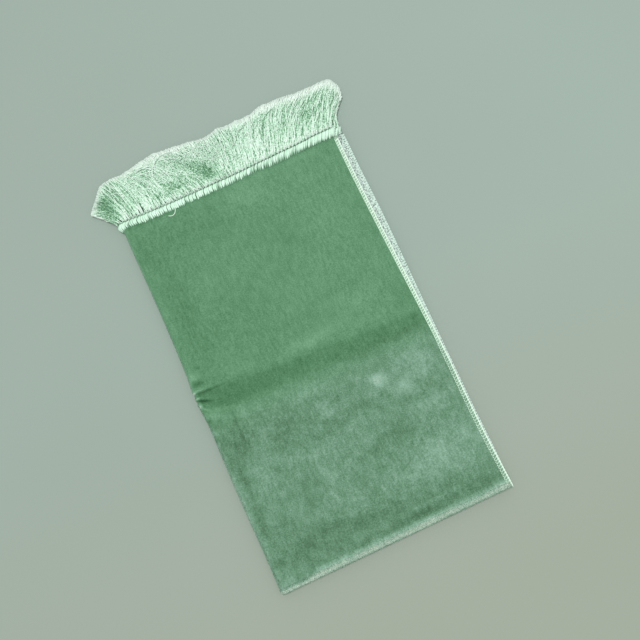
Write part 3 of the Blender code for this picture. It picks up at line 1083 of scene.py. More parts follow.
def crown(w, end):
    """How much the heading swells: evenly on the top layer and more round its fold."""
    return CROWN * on_top(w, end) + (band(w, KNOB) if end > 0 else 0.0)


def folded_x(w):
    """Where w comes to lie on the folded rug's upper side."""
    return w + FOLDED_WIDTH - HALF_WIDTH


def heading_lines(w, end):
    """Distances of the bundles' feet and of the chain stitch from the pile's end."""
    if end < 0:
        return [value * MM + 0 * w for value in PRESSED_LINES]
    place, foot, line = np.array(HEADING_LINES).T * MM
    return np.interp(folded_x(w), place, foot), np.interp(folded_x(w), place, line)


def chain_line(w, end):
    return heading_lines(w, end)[1]


def zigzag(w):
    """How far the chain stitch swings out of its line: once out and in for each bundle."""
    return CHAIN_SWING * np.sin(2 * math.pi * w / BUNDLE)


# %% Bundles of yarn
BUNDLE_SLANT = 0.46
BUNDLE_STRANDS = (-1.32 * MM, 1.32 * MM)  # where a bundle's two strands lie
BUNDLE_SCATTER = 0.22 * MM  # how far a bundle, and a strand in it, strays along the heading
STRAND_RADIUS = 1.22 * MM
STRAND_FLATTEN = 0.66
STRAND_SIDES = 6
STRAND_FATNESS = (0.66, 0.88, 1.02, 1.10, 1.16, 1.20, 1.16, 1.02)  # from its foot to the chain stitch
STRAND_VARIES = (0.85, 1.10)
STRAND_HEIGHT = 0.5 * MM
ARCH = (0.05, 0.93, 0.40)  # the part of a half wave that a strand follows, and the power that blunts it
FOOT_SCATTER = 0.55 * MM
PAST_CHAIN = 0.5 * MM  # how far the bundles go on past the chain stitch
FOOT_LIFT = 0.95 * MM  # the top layer's bundles start on the pile
FOOT_RUN = 0.6  # the share of a bundle over which it comes down from there
KNOB_FATNESS = (-1 * MM, 5 * MM, 1.0)  # w, half length and how much fatter the bundles are round the fold
COVERED = (235 * MM, 60 * MM, 0.26)  # x, half length and how much more of the feet is covered there
COVERED_EVERYWHERE = 0.22
COVERED_VARIES = (0.4, 1.8)
COVERED_WHOLLY = 0.12  # the share of strands that the pile covers all along


def bundle_centres(rng):
    root = (np.arange(HEADING_COUNT) + 0.5 - HEADING_COUNT / 2) * BUNDLE
    return root + rng.normal(0, BUNDLE_SCATTER, HEADING_COUNT)


def bundle_strands(end, rng):
    """Two fat strands to a bundle, arched from over the pile's end to the chain stitch.

    With u from 0 at the foot to 1 past the stitch, a strand's height is a half
    wave of u to a power, times its height and crown, plus a lift at the foot
    that falls with u. It leans sideways by a slant times the distance along.
    """
    w = (bundle_centres(rng)[:, None] + np.array(BUNDLE_STRANDS)).ravel()
    w = w + rng.normal(0, BUNDLE_SCATTER, len(w))
    u = np.linspace(0, 1, len(STRAND_FATNESS))
    foot, top = heading_lines(w, end)
    foot = foot + rng.normal(0, FOOT_SCATTER, len(w))
    top = top + zigzag(w) + PAST_CHAIN
    along = foot[:, None] + (top - foot)[:, None] * u
    across = w[:, None] + BUNDLE_SLANT * (along - (foot + top)[:, None] / 2)

    arch_start, arch_end, blunt = ARCH
    arch = np.sin(math.pi * np.clip(u, arch_start, arch_end)) ** blunt
    free = on_top(w, end)
    height = (STRAND_HEIGHT * free + crown(w, end))[:, None] * arch
    height = height + FOOT_LIFT * free[:, None] * (1 - smooth_step(u / FOOT_RUN))
    paths = np.stack([across, end * (HALF_PILE + along), height], axis=-1)

    fat = STRAND_RADIUS * np.array(STRAND_FATNESS) * rng.uniform(*STRAND_VARIES, (len(w), 1))
    if end > 0:
        fat = fat * (1 + band(w, KNOB_FATNESS)[:, None])
    hidden = COVERED_EVERYWHERE + band(folded_x(w), COVERED)
    hidden = hidden * rng.uniform(*COVERED_VARIES, len(w))
    hidden = np.where(rng.random(len(w)) < COVERED_WHOLLY, 1.0, hidden)
    covered = 1 - smooth_step(u / hidden[:, None])
    return tube_points(paths, fat, STRAND_SIDES, flatten=STRAND_FLATTEN), covered


# %% Chain stitch
CHAIN_RADIUS = 0.34 * MM
CHAIN_STEPS = 6  # points to a bundle
CHAIN_SIDES = 6
CHAIN_SCATTER = 0.12 * MM
CHAIN_HEIGHT = 2.2 * MM
CHAIN_DIP = 0.15 * MM
CHAIN_THINNING = 0.15  # how much thicker and thinner the stitch gets as it dips
CHAIN_CROWN = 0.95  # how much of the heading's swelling it follows


def chain_stitch(end, rng):
    """One thread in a zigzag that dips between the bundles, a turn for each."""
    w = (np.arange(HEADING_COUNT * CHAIN_STEPS) / CHAIN_STEPS - HEADING_COUNT / 2) * BUNDLE
    wave = np.cos(2 * math.pi * w / BUNDLE)
    along = chain_line(w, end) + zigzag(w) + rng.normal(0, CHAIN_SCATTER, len(w))
    height = CHAIN_HEIGHT * on_top(w, end) + CHAIN_CROWN * crown(w, end) + CHAIN_DIP * wave
    path = np.stack([w, end * (HALF_PILE + along), height], axis=-1)[None]
    return tube_points(path, CHAIN_RADIUS * (1 + CHAIN_THINNING * wave), CHAIN_SIDES)


# %% Seam allowance under the bundles
ALLOWANCE_SHORT = (3.5, 1.0)  # how far it ends inside the rug's edges, on end A and on end B, in mm
ALLOWANCE_TOP = (0.9 * MM, 0.15 * MM)
ALLOWANCE_BOTTOM = -0.35 * MM
ALLOWANCE_INSIDE = 0.4 * MM  # from the pile's end, and short of the chain stitch
ALLOWANCE_LAY = (CALM_LAY, 0.6)


def seam_allowance(end):
    """The rug's own end under the bundles, as a thin sleeve of four corners."""
    which = 0 if end > 0 else 1
    reach = HALF_WIDTH / MM - ALLOWANCE_SHORT[which]
    w = stations((-reach, -FOLD, 40), (-FOLD, FOLD, 17), (FOLD, reach, 40))
    inner, outer = 0 * w + ALLOWANCE_INSIDE, chain_line(w, end) - ALLOWANCE_INSIDE
    s = np.stack([inner, outer, outer, inner], axis=1)
    t = np.array([ALLOWANCE_BOTTOM, ALLOWANCE_BOTTOM, ALLOWANCE_TOP[which], ALLOWANCE_TOP[which]])
    points = np.stack(np.broadcast_arrays(w[:, None], end * (HALF_PILE + s), t), axis=-1)
    end_caps = np.array([[3, 2, 1, 0], np.arange(4 * len(w) - 4, 4 * len(w))])
    faces = [sleeve_faces(len(w), 4), end_caps]
    return points, [face[:, ::-1] for face in faces] if end < 0 else faces


# %% Both headings


def add_heading(name, end, seed, node):
    rng = np.random.default_rng(seed)
    strands, covered = bundle_strands(end, rng)
    shade = np.repeat(rng.uniform(0.0, 1.0, len(strands)), strands[0].size // 3)
    looks = {"shade": shade, "covered": np.repeat(covered.ravel(), STRAND_SIDES)}
    stitch = chain_stitch(end, rng)
    allowance, allowance_faces = seam_allowance(end)
    # The upper side of end B is its woven side, so pale cloth shows between its bundles.
    cloth, cloth_lay = (pile, ALLOWANCE_LAY[0]) if end > 0 else (backing, ALLOWANCE_LAY[1])
    cloth_looks = {"lay_and_light": cloth_lay, "rubbed": 0.0}
    made = []
    for label, points, faces, material, slot, values in (
        ("", strands, tube_faces(*strands.shape[:3]), heading, "fringe_yarn", looks),
        ("_chain_stitch", stitch, tube_faces(*stitch.shape[:3]), chain, "overlock_thread", {}),
        ("_seam_allowance", allowance, allowance_faces, cloth, "velvet", cloth_looks),
    ):
        piece = add_piece(name + label, folded(points), faces, [material], None, values)
        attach(piece, "root")
        made.append(piece)
    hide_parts(node)
    return made


heading_a = add_heading("heading_end_a", 1, 21, "fringe_end_a")
heading_b = add_heading("heading_end_b", -1, 22, "fringe_end_b")

# %% [markdown]
# ## The fringe
#
# The fringe is thousands of soft shiny threads. They leave the heading in
# clumps, two for each bundle, and lie where they were swept: to the left at
# the folded side, to the right past the middle, and splayed out at both ends.
# A table says how far the threads lean at places along the heading, at three
# heights. Every thread grows step by step along those leans, with a curl and
# a little chance of its own, and is cut where it meets the outline of the tips.
#
# More tables give the fringe its own character: the partings where it opens to
# the heading, how curly it is along the way, a few locks that lie across the
# rest, painted light and shade on the mat with painted shadow in its gaps, and
# how deep its pale rim is, which is partly painted light. Like the marks in the
# pile these are placed one by one. The four layers of the folded rug each
# have their fringe, and the second one also peeps out at the open corner.

# %% How the fringe leans
FRINGE_FLOW = (
    # x in mm, then lean in degrees to the right at the chain stitch, halfway and near the tips
    (-20, -36, -60, -52),
    (-6, -34, -42, -34),
    (5, -26, -24, -24),
    (18, -7, -9, -20),
    (40, -7, -17, -34),
    (60, -9, -26, -36),
    (78, -12, -42, -28),
    (100, -14, -56, -15),
    (122, -14, -45, -12),
    (145, -12, -32, -16),
    (165, 3, -1, -10),
    (182, 15, 9, -2),
    (210, 14, 12, 10),
    (250, 20, 20, 26),
    (300, 25, 34, 44),
    (328, 22, 36, 46),
    (345, 4, 32, 36),
)
FLOW_MIDDLE = 24 * MM  # how far past the heading the second and the third lean hold
FLOW_HIGH = 56 * MM

# %% Where the fringe ends
FRINGE_OUTLINE = (
    # x, y of the tips in mm, from the left end to the right
    (-14, 556), (-18, 570), (-34, 585), (-26, 595), (-18, 605), (-8, 618), (-1, 621), (11, 622.5),
    (27, 621.5), (45, 625), (65, 629.4), (80, 632), (95, 630.5), (120, 628), (134, 627.5), (144, 624.5),
    (158, 623.5), (168, 625), (181, 629), (189, 626.5), (201, 626.5), (208, 628.5), (215, 626.5),
    (234, 628), (244, 632), (253, 634), (262, 632.5), (284, 632.4), (297, 631), (304, 629.5),
    (331, 629.4), (352, 630.2), (359, 627), (365, 616), (366, 608), (364, 597), (359, 591), (350, 582),
    (344, 574), (341, 565), (341, 554),
)
FRINGE_HUB = (165, 480)  # every tip is seen from here at an angle of its own

# %% Partings, curls and locks
PARTINGS = (
    # root x in mm, reach in mm, how far each side is pushed away in degrees
    (21, 2, 11),
    (38, 2, 10),
    (52, 2, 7),
    (71, 2, 9),
    (149, 4, 7),
    (172, 2, 7),
    (186, 2, 6),
    (232, 2, 6),
    (263, 2, 8),
    (308, 2, 9),
)
CURLS = (
    # root x in mm, curl in degrees
    (0, 5), (60, 7), (85, 24), (150, 24), (170, 12), (200, 10), (240, 12), (340, 14)
)
LOCKS = (
    # root x in mm, threads, how far they leave the common lean, early and late, in degrees
    (19, 14, -4, 66),
    (84, 5, 0, 100),
    (96, 5, 25, -60),
    (108, 6, -25, 60),
    (120, 6, 20, -50),
    (130, 7, -30, 50),
    (141, 7, 25, -50),
    (152, 12, -20, 18),
    (160, 10, -34, 10),
    (176, 7, -12, 26),
    (225, 6, -10, 24),
    (290, 6, 12, -24),
)

# %% Shades and rim
PAINTED_LIGHT_AND_SHADE = (
    # x, y, half length and half width in mm, turn in degrees, how much paler: painted light and painted
    # shade on the mat
    (-7, 578, 24, 14, 106, -0.72),
    (-6, 596, 12, 8, 20, -0.36),
    (20, 560, 22, 8, 0, 0.14),
    (90, 571, 24, 12, 0, -0.60),
    (98, 594, 24, 12, 0, -0.18),
    (122, 592, 22, 9, -50, -0.45),
    (139, 573, 19, 13, -52, -1.00),
    (130, 608, 28, 8, 0, 0.26),
    (195, 576, 18, 9, 90, 0.18),
    (222, 585, 26, 14, 90, 0.10),
    (304, 588, 22, 12, 35, -0.34),
    (344, 576, 8, 10, 0, 0.24),
    # painted shadow in small deep gaps
    (177.5, 586, 2.4, 1.6, 50, -1.20),
    (172, 564, 2.0, 1.2, 70, -1.00),
    (186, 581, 2.4, 1.0, 75, -0.80),
    (181, 598, 2.6, 1.0, 80, -0.60),
    (234, 597, 2.6, 1.3, 70, -0.90),
    (233, 588, 1.4, 1.2, 0, -0.90),
    (263, 594, 2.6, 1.0, 70, -0.70),
    (304, 593, 4.0, 1.6, 55, -0.70),
    (308.5, 584, 2.0, 1.2, 60, -1.20),
    (317, 588, 2.0, 1.1, 60, -0.90),
    (139, 564, 2.0, 1.1, 80, -0.90),
)
# The pale rim is partly the frayed tips' own paler fibres and partly painted light, where light comes
# through the thin tips.
RIM = (
    # x, depth of the pale rim; in mm
    (-30, 6), (0, 7), (30, 8), (60, 13), (85, 17), (105, 34), (120, 15), (150, 10), (180, 7), (205, 11),
    (240, 14), (257, 26), (280, 16), (302, 26), (342, 22), (365, 9),
)
RIM_STRENGTH = 1.4
RIM_LIMITS = (0.7, 0.9)  # the share of a thread at which its tip starts to grow pale, and is pale

# %% Growing a thread
WALK_STEPS = 18
STRIDE = 7 * MM
SHORTEST = 1.5  # strides
LATE_LIMITS = (0.1875, 0.8125)  # the share of its walk at which a thread's late lean sets in, and is full
CURLS_GROWN = 0.25  # the share of its walk after which its curls are full
THREAD_STEPS = 13


def flow(x, y):
    """Lean in degrees, read along x at three heights and shared between them."""
    place, *leans = np.array(FRINGE_FLOW, float).T
    low, middle, high = [np.interp(x / MM, place, lean) for lean in leans]
    up = y - FRINGE_START_Y
    to_middle = rise(up, (0, FLOW_MIDDLE))
    to_high = rise(up, (FLOW_MIDDLE, FLOW_HIGH))
    return low + (middle - low) * to_middle + (high - middle) * to_high


def reach_of(x, y):
    """Distance from the hub over the outline's distance at the same angle: 1 at the outline."""
    hub_x, hub_y = np.array(FRINGE_HUB) * MM
    tip_x, tip_y = np.array(FRINGE_OUTLINE).T * MM
    angle = np.arctan2(tip_x - hub_x, tip_y - hub_y)
    limit = np.interp(np.arctan2(x - hub_x, y - hub_y), angle, np.hypot(tip_x - hub_x, tip_y - hub_y))
    return np.hypot(x - hub_x, y - hub_y) / limit, limit


def grow(root_x, root_y, own, wave, stride=STRIDE):
    """Walk from the roots: each step's direction is the flow there plus the thread's own lean.

    own is (number, 2), its early and late extra lean; wave is (number, 3), the
    size, number and phase of its curls.
    """
    xs, ys = [root_x], [root_y]
    for step in range(WALK_STEPS):
        u = step / (WALK_STEPS - 1)
        late = rise(u, LATE_LIMITS)
        curl = wave[:, 0] * np.sin(2 * math.pi * (wave[:, 1] * u + wave[:, 2])) * min(1.0, u / CURLS_GROWN)
        lean = np.radians(flow(xs[-1], ys[-1]) + own[:, 0] * (1 - late) + own[:, 1] * late + curl)
        xs.append(xs[-1] + stride * np.sin(lean))
        ys.append(ys[-1] + stride * np.cos(lean))
    return np.stack(xs, axis=1), np.stack(ys, axis=1)


def cut(xs, ys, share):
    """End every path at its share of the way to the outline, with evenly spaced points."""
    reach, _ = reach_of(xs, ys)
    inside = np.clip((reach < 1).cumprod(axis=1).sum(axis=1), 1, WALK_STEPS) - 1
    before, after = [np.take_along_axis(reach, (inside + k)[:, None], 1)[:, 0] for k in (0, 1)]
    meets = inside + np.clip((1 - before) / (after - before), 0, 1)
    at = np.linspace(0, 1, THREAD_STEPS) * np.maximum(meets * share, SHORTEST)[:, None]
    first = np.minimum(at.astype(int), WALK_STEPS - 1)
    rest = at - first

    def read(values):
        here, there = [np.take_along_axis(values, first + k, 1) for k in (0, 1)]
        return here + (there - here) * rest

    return read(xs), read(ys)


# %% Where the threads start
CLUMP = BUNDLE / 2
CLUMP_MEETS = 0.22 * MM  # how far a bundle's two clumps move towards each other
CLUMP_SPREAD = 0.80 * MM  # how far from its clump's middle a thread starts
LEAN_VARIES = 4  # degrees, from thread to thread
CLUMP_LEAN_VARIES = 2.2  # and from clump to clump
CURL_VARIES = (0.2, 1.7)
LOCK_SPREAD = 2.0 * MM
LOCK_LEAN_VARIES = 8
LOCK_CURL = 6


def clump_count(first):
    """How many clumps fit between a first root in mm and the rug's edge."""
    return int((HALF_WIDTH - HEADING_SHORT - first * MM) / CLUMP)


def fringe_roots(end, side, number, first, rng):
    """Where the threads of a layer start, and how they mean to lie.

    Each belongs to a clump, two to a bundle. Returns w, the distance from the
    clump's middle, the thread's own lean early and late, its curl, which
    threads form locks, and the clumps' numbers.
    """
    clumps = clump_count(first)
    clump = rng.integers(0, clumps, number)
    meeting = CLUMP_MEETS * np.where(clump % 2, -1, 1)
    off_middle = rng.uniform(-1, 1, number) * CLUMP_SPREAD
    w = side * (first * MM + (clump + 0.5) * CLUMP + meeting + off_middle)
    locked = np.zeros(number, bool)
    own = rng.normal(0, LEAN_VARIES, (number, 2)) + rng.normal(0, CLUMP_LEAN_VARIES, (clumps, 2))[clump]
    place, curl = np.array(CURLS, float).T
    curl = np.interp(folded_x(w) / MM, place, curl) * rng.uniform(*CURL_VARIES, number)
    if end > 0 and side > 0:
        taken = 0
        for lock_x, threads, early, late in LOCKS:
            chosen = slice(taken, taken + threads)
            w[chosen] = (lock_x * MM - folded_x(0)) + rng.normal(0, LOCK_SPREAD, threads)
            own[chosen] = np.array([early, late]) + rng.normal(0, LOCK_LEAN_VARIES, (threads, 2))
            curl[chosen] = LOCK_CURL
            locked[chosen] = True
            taken += threads
    return w, off_middle, own, curl, locked, clump


# %% Layers of the fringe
LAYERS = (
    # name, end, side, threads, first root from the fold, lowest and highest tip, how far it ends inside
    # the outline, and how much paler it is, where the lower layers take painted shade; lengths in mm
    ("top", 1, 1, 3700, -6, 3.0, 8.0, 0.0, 0.0),
    ("second", -1, 1, 800, 4, 2.6, 5.2, 2.0, -0.5),
    ("corner", -1, 1, 260, 306, 3.4, 6.6, 0.0, 0.0),
    ("third", -1, -1, 300, 4, 1.6, 3.2, 5.0, -0.5),
    ("bottom", 1, -1, 500, -6, 0.7, 1.9, 5.0, -0.5),
)
THREAD_RADIUS = 0.58 * MM
THREAD_CLEAR = 1.45 * THREAD_RADIUS  # how far a thread's middle stays above the floor
ROOT_SCATTER = (-0.4 * MM, 0.6 * MM)  # how far before or after the chain stitch it comes out
ROOT_HEIGHT = (0.4 * MM, 1.4 * MM)
ROOT_PRESSED = 0.4  # the share of that height that a pressed layer keeps
ROOT_CROWN = 0.9  # and of the heading's swelling that the roots follow
CLUMP_FAN = 4  # degrees that a thread leans outwards for each mm from its clump's middle
CURL_TURNS = (0.8, 3.2)
WILD_SHARE = 0.12  # the share of threads that swing across the others
WILD_LEAN = 24  # and by about how many degrees
WILD_INWARD = (20, 300)  # the x in mm before and after which they swing towards the middle
STRAY_SHARE = (0.6, 0.98)  # how far a wild or locked thread goes on its way to the outline
MAT_DEPTH = 80 * MM  # from the heading to the tips
TIP_SCATTER = 1.1 * MM
TIP_BEYOND = 0.6 * MM  # how far the longest tips pass the outline
THREAD_LIFT = 2.0  # mm that the highest threads arch up halfway
LOCK_LIFT = 2.6
LOCK_LEVEL = 1.1  # a lock's height in the mat, where 1 is its top

# %% Shades of the threads
DARK_SHARE = 0.3  # the share of threads that are darker: painted shade between threads, with the yarn's uneven tone
DARK_SHADES = (0.0, 0.4)
PALE_SHADES = (0.5, 1.0)
CLUMP_SHADE = 0.04  # how much the clumps differ
RANK_SHADE = 0.10  # how much paler the highest threads are than the lowest: painted shade on the lower ones
LOCK_SHADE = 0.95
ROOT_HIGHLIGHT = (0, 0.07, 0.40)  # where on a thread, over what share of it, and how much paler it is there: painted light on the roots


def sink(u):
    """How far a thread has come down to the mat: a smooth step of 1.1 times u less 0.08.

    u is 0 at the thread's root and 1 at its tip.
    """
    return smooth_step(u * 1.1 - 0.08)


def arc(u):
    """A soft arch that is highest halfway: a half wave to the power of 1.2."""
    return np.sin(math.pi * u) ** 1.2


def thread_shades(xs, ys, rank, locked, clump, clumps, rng):
    """Each thread's own shade, dark or pale, and what its clump, its height, marks and root add: painted
    shade and light, with the yarn's uneven tone.
    """
    number = len(rank)
    u = np.linspace(0, 1, THREAD_STEPS)
    dark = rng.random(number) < DARK_SHARE
    shade = np.where(dark, rng.uniform(*DARK_SHADES, number), rng.uniform(*PALE_SHADES, number))
    shade = shade + CLUMP_SHADE * rng.normal(0, 1, clumps)[clump] + RANK_SHADE * (rank - 0.5)
    shade = np.where(locked, LOCK_SHADE, shade)[:, None]
    return shade + humps(xs, ys, PAINTED_LIGHT_AND_SHADE) + band(u, ROOT_HIGHLIGHT)


def pale_rim(xs, ys):
    """1 on the pale rim: it fades with the distance from the outline over the rim's depth there."""
    u = np.linspace(0, 1, THREAD_STEPS)
    reach, limit = reach_of(xs, ys)
    depth = np.interp(xs / MM, *np.array(RIM, float).T) * MM
    return smooth_step(RIM_STRENGTH * (1 - (1 - reach) * limit / depth)) * rise(u, RIM_LIMITS)


# %% Threads of one layer


def fringe_threads(end, side, number, first, low, high, short, tone, rng):
    """Paths (number, steps, 3) of one layer's threads, with a shade and a rim value each."""
    root_w, off_middle, own, curl, locked, clump = fringe_roots(end, side, number, first, rng)
    free = on_top(root_w, end)
    root_s = HALF_PILE + chain_line(root_w, end) + zigzag(root_w) + rng.uniform(*ROOT_SCATTER, number)
    root_t = rng.uniform(*ROOT_HEIGHT, number) * (ROOT_PRESSED + free) + ROOT_CROWN * crown(root_w, end)
    root = lay_folded(root_w, end * root_s, root_t)

    # Partings push the threads beside them away, and clumps fan out.
    x = root[:, 0] / MM
    for parting, reach, push in PARTINGS:
        away = x - parting
        own[:, 0] += push * np.sign(away) * np.exp(-np.abs(away) / reach)
    own[:, 0] += CLUMP_FAN * off_middle / MM
    wild = (rng.random(number) < WILD_SHARE) & ~locked
    from_left, to_right = WILD_INWARD
    inward = np.where(x < from_left, 1, np.where(x > to_right, -1, rng.choice([-1, 1], number)))
    own[:, 1] += np.where(wild, inward * np.abs(rng.normal(0, WILD_LEAN, number)), 0)
    wave = np.stack([curl, rng.uniform(*CURL_TURNS, number), rng.uniform(0, 1, number)], axis=1)
    xs, ys = grow(root[:, 0], root[:, 1], own, wave)
    ends_short = short * MM - TIP_BEYOND + np.abs(rng.normal(0, TIP_SCATTER, number))
    share = np.where(wild | locked, rng.uniform(*STRAY_SHARE, number), 1 - ends_short / MAT_DEPTH)
    xs, ys = cut(xs, ys, share)

    # Down from the heading in a soft arc to the thread's own level in the mat.
    u = np.linspace(0, 1, THREAD_STEPS)
    rank = rng.random(number)
    level = (low + (high - low) * np.where(locked, LOCK_LEVEL, rank)) * MM
    z = root[:, 2:] * (1 - sink(u)) + level[:, None] * sink(u)
    lift = np.where(locked, LOCK_LIFT, THREAD_LIFT * rank) * MM
    z = z + (free * lift)[:, None] * arc(u)
    points = np.stack([xs, ys, np.maximum(z, THREAD_CLEAR)], axis=-1)

    shade = thread_shades(xs, ys, rank, locked, clump, clump_count(first), rng) + tone
    return points, np.clip(shade, 0, 1), pale_rim(xs, ys)


# %% [markdown]
# ## Loose curly ends
#
# Here and there a frayed end lies on top of the mat in small curls. They grow
# like the threads, but in short steps and with many turns, from roots that are
# scattered about a few places.

# %% Loose curly ends
FRIZZ = (
    # x, y, half length, half width in mm, hairs
    (100, 586, 22, 16, 110),
    (128, 574, 22, 12, 110),
    (150, 598, 14, 14, 40),
    (60, 600, 20, 14, 20),
    (215, 596, 40, 18, 40),
    (-20, 588, 8, 12, 50),
)
FRIZZ_STRIDE = 2.3 * MM
FRIZZ_TURNS = (2.0, 4.5)
FRIZZ_CURL = (20, 60)
FRIZZ_LEAN_VARIES = 38
FRIZZ_RADIUS = 0.40 * MM
FRIZZ_SCATTER = 0.7  # of the half length and half width
FRIZZ_LOWEST = 556  # mm; none starts nearer to the pile
FRIZZ_OVER = (0.2, 1.4)  # mm above the mat
FRIZZ_DROOP = 0.7  # mm that both its ends hang down
FRIZZ_INSIDE = 0.985  # as a share of the way to the outline
FRIZZ_SHADES = (0.4, 1.0)
FRIZZ_MARKED = 0.5  # how much of the painted light and shade it takes up
MAT_TOP = (14.3, 7.4)  # mm, the mat's upper side by the heading and at the tips


def frizz(rng):
    """Short curly ends that lie on the mat: they grow like the threads, in smaller steps."""
    x, y, half_length, half_width, hairs = np.array(FRIZZ, float).T
    patch = np.repeat(np.arange(len(FRIZZ)), hairs.astype(int))
    number = len(patch)
    root_x = x[patch] + half_length[patch] * rng.normal(0, FRIZZ_SCATTER, number)
    root_y = y[patch] + half_width[patch] * rng.normal(0, FRIZZ_SCATTER, number)
    own = rng.normal(0, FRIZZ_LEAN_VARIES, (number, 2))
    curl, turns = rng.uniform(*FRIZZ_CURL, number), rng.uniform(*FRIZZ_TURNS, number)
    wave = np.stack([curl, turns, rng.random(number)], axis=1)
    xs, ys = grow(root_x * MM, np.maximum(root_y, FRIZZ_LOWEST) * MM, own, wave, FRIZZ_STRIDE)
    u = np.clip((ys - FRINGE_START_Y) / MAT_DEPTH, 0, 1)
    mat = blend(MAT_TOP, sink(u)) + THREAD_LIFT * arc(u)
    droop = FRIZZ_DROOP * np.abs(np.linspace(-1, 1, WALK_STEPS + 1)) ** 3
    z = (mat + rng.uniform(*FRIZZ_OVER, (number, 1)) - droop) * MM
    inside = (reach_of(xs, ys)[0] < FRIZZ_INSIDE).all(axis=1)
    shade = rng.uniform(*FRIZZ_SHADES, (number, 1)) + FRIZZ_MARKED * humps(xs, ys, PAINTED_LIGHT_AND_SHADE)
    return np.stack([xs, ys, z], axis=-1)[inside], np.clip(shade, 0, 1)[inside]


# %% Fringe pieces
THREAD_SIDES = 3
THREAD_PLACES = (0, 0.15, 0.85, 1)  # along a thread, with how fat it is at each
THREAD_FATNESS = (1.1, 1.0, 1.0, 1.4)
MOST_THREADS = 2500  # about as many as one piece takes


def add_fringe(name, path, shade, rim, node, radius=THREAD_RADIUS):
    taper = radius * np.interp(np.linspace(0, 1, path.shape[1]), THREAD_PLACES, THREAD_FATNESS)
    shape = tube_points(path, taper, THREAD_SIDES)
    shade, rim = np.repeat(shade.ravel(), THREAD_SIDES), np.repeat(rim.ravel(), THREAD_SIDES)
    values = {"shade": shade, "tip": rim}
    piece = add_piece(name, shape, tube_faces(*shape.shape[:3]), [yarn], None, values)
    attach(piece, "root")
    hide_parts(node)
    return piece


rng = np.random.default_rng(31)
for layer, end, side, number, first, low, high, short, tone in LAYERS:
    path, shade, rim = fringe_threads(end, side, number, first, low, high, short, tone, rng)
    order = np.argsort(path[:, 0, 0])
    shares = np.array_split(order, 1 + number // MOST_THREADS)
    for share, chosen in enumerate(shares, 1):
        name = f"fringe_{layer}_{share}" if len(shares) > 1 else f"fringe_{layer}"
        node = "fringe_end_a" if end > 0 else "fringe_end_b"
        add_fringe(name, path[chosen], shade[chosen], rim[chosen], node)

curls, curl_shade = frizz(rng)
no_rim = 0 * curl_shade
add_fringe("fringe_curls", curls, curl_shade, no_rim, "fringe_end_a", FRIZZ_RADIUS)

# %% [markdown]
# ## The loose thread
#
# A short end of sewing thread hangs out from under the heading near the folded
# side and curls over the pile. It is a plain tube along a few points, which
# are first divided evenly and then smoothed: each point moves three times to a
# quarter of both its neighbours and a half of itself.

# %% Loose thread end
LOOSE_THREAD = (
    # x, y in mm on the folded rug, height above the pile in mm
    (80.0, 544.5, 1.0),
    (79.3, 541.0, 0.7),
    (77.5, 536.0, 0.6),
    (74.0, 532.6, 0.6),
    (70.0, 532.4, 0.7),
    (66.3, 534.2, 1.0),
)
LOOSE_RADIUS = 0.55 * MM
LOOSE_STEPS = 21
LOOSE_SIDES = 6
loose = np.array(LOOSE_THREAD) * MM
knots = np.linspace(0, 1, len(loose))
fine = np.linspace(0, 1, LOOSE_STEPS)
loose = np.stack([np.interp(fine, knots, column) for column in loose.T], axis=1)
for _ in range(3):
    loose[1:-1] = (loose[:-2] + 2 * loose[1:-1] + loose[2:]) / 4
loose[:, 2] += 2 * FOLD_CENTRE + loft(loose[:, 0], loose[:, 1])
loose_shape = tube_points(loose[None], LOOSE_RADIUS, LOOSE_SIDES)
loose_faces = tube_faces(*loose_shape.shape[:3])
loose_values = {"shade": 1.0, "behind": 0.0, "lane_shade": 0.0}
loose_end = add_piece("loose_thread_end", loose_shape, loose_faces, [thread], None, loose_values)
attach(loose_end, "root")

# %% [markdown]
# ## The surface, the light and the camera
#
# The rug lies on a plain surface that is a little paler to the right and
# warmer on the near side. The light on it is soft and even, as from a cloudy
# sky with a wide window high to the left. The camera looks almost straight
# down, turned so that the rug leans to the left, and its place is given in the
# rug's own coordinates.

# %% Floor
FLOOR_HALF = 3.0
FLOOR_ACROSS = (-0.3, 0.5)  # the x in metres where it starts to turn paler, and where it has
FLOOR_NEAR = (0.05, -0.42)  # the y where it starts to turn warmer, and where it has


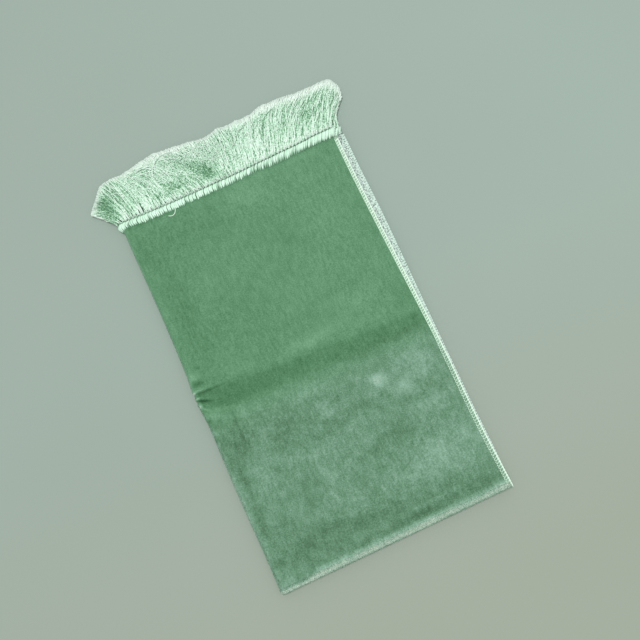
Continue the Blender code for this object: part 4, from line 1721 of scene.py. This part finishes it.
def add_floor():
    finish = Finish("pale_surface", roughness=0.95, specular=0.05)
    soft = finish.noise(scale=2.5, detail=3)
    left = finish.mix(soft, seen(159, 175, 165), seen(164, 180, 170))
    right = finish.mix(soft, seen(163, 181, 171), seen(168, 186, 176))
    near = finish.mix(soft, seen(163, 173, 158), seen(167, 177, 163))
    colour = finish.mix(finish.between(finish.axis("X"), *FLOOR_ACROSS), left, right)
    colour = finish.mix(finish.between(finish.axis("Y"), *FLOOR_NEAR), colour, near)
    corners = FLOOR_HALF * np.array([(-1, -1, 0), (1, -1, 0), (1, 1, 0), (-1, 1, 0)])
    floor = add_piece("floor", corners - RUG_SHIFT, [np.array([[0, 1, 2, 3]])], [finish.paint(colour)])


add_floor()

# %% Light
SKY_STRENGTH = 0.42 * LIGHT
SUN_STRENGTH = 1.86 * LIGHT
SUN_ANGLE = 22
SUN_TURN = (-3, -6, 0)  # degrees about x, y and z from straight down

world = bpy.data.worlds.new("soft_room")
bpy.context.scene.world = world
world.use_nodes = True
world.node_tree.nodes["Background"].inputs["Color"].default_value = (1.0, 1.0, 1.0, 1.0)
world.node_tree.nodes["Background"].inputs["Strength"].default_value = SKY_STRENGTH

window = bpy.data.lights.new("window", "SUN")
window.energy = SUN_STRENGTH
window.angle = math.radians(SUN_ANGLE)
window_place = bpy.data.objects.new("window", window)
window_place.rotation_euler = [math.radians(angle) for angle in SUN_TURN]
bpy.context.scene.collection.objects.link(window_place)
bpy.context.scene.view_settings.view_transform = "Standard"

# %% Camera
CAMERA_FOV = 40
CAMERA_PLACE = (125.5, 100.1, 1198.4)  # mm, in the rug's own coordinates
CAMERA_TURN = (10.554, 1.073, -24.661)  # degrees about x, y and z
camera = bpy.data.cameras.new("camera")
camera.angle = math.radians(CAMERA_FOV)
camera.clip_start = 0.01
viewpoint = bpy.data.objects.new("camera", camera)
viewpoint.location = np.array(CAMERA_PLACE) * MM + RUG_SHIFT
viewpoint.rotation_euler = [math.radians(angle) for angle in CAMERA_TURN]
bpy.context.scene.collection.objects.link(viewpoint)
bpy.context.scene.camera = viewpoint
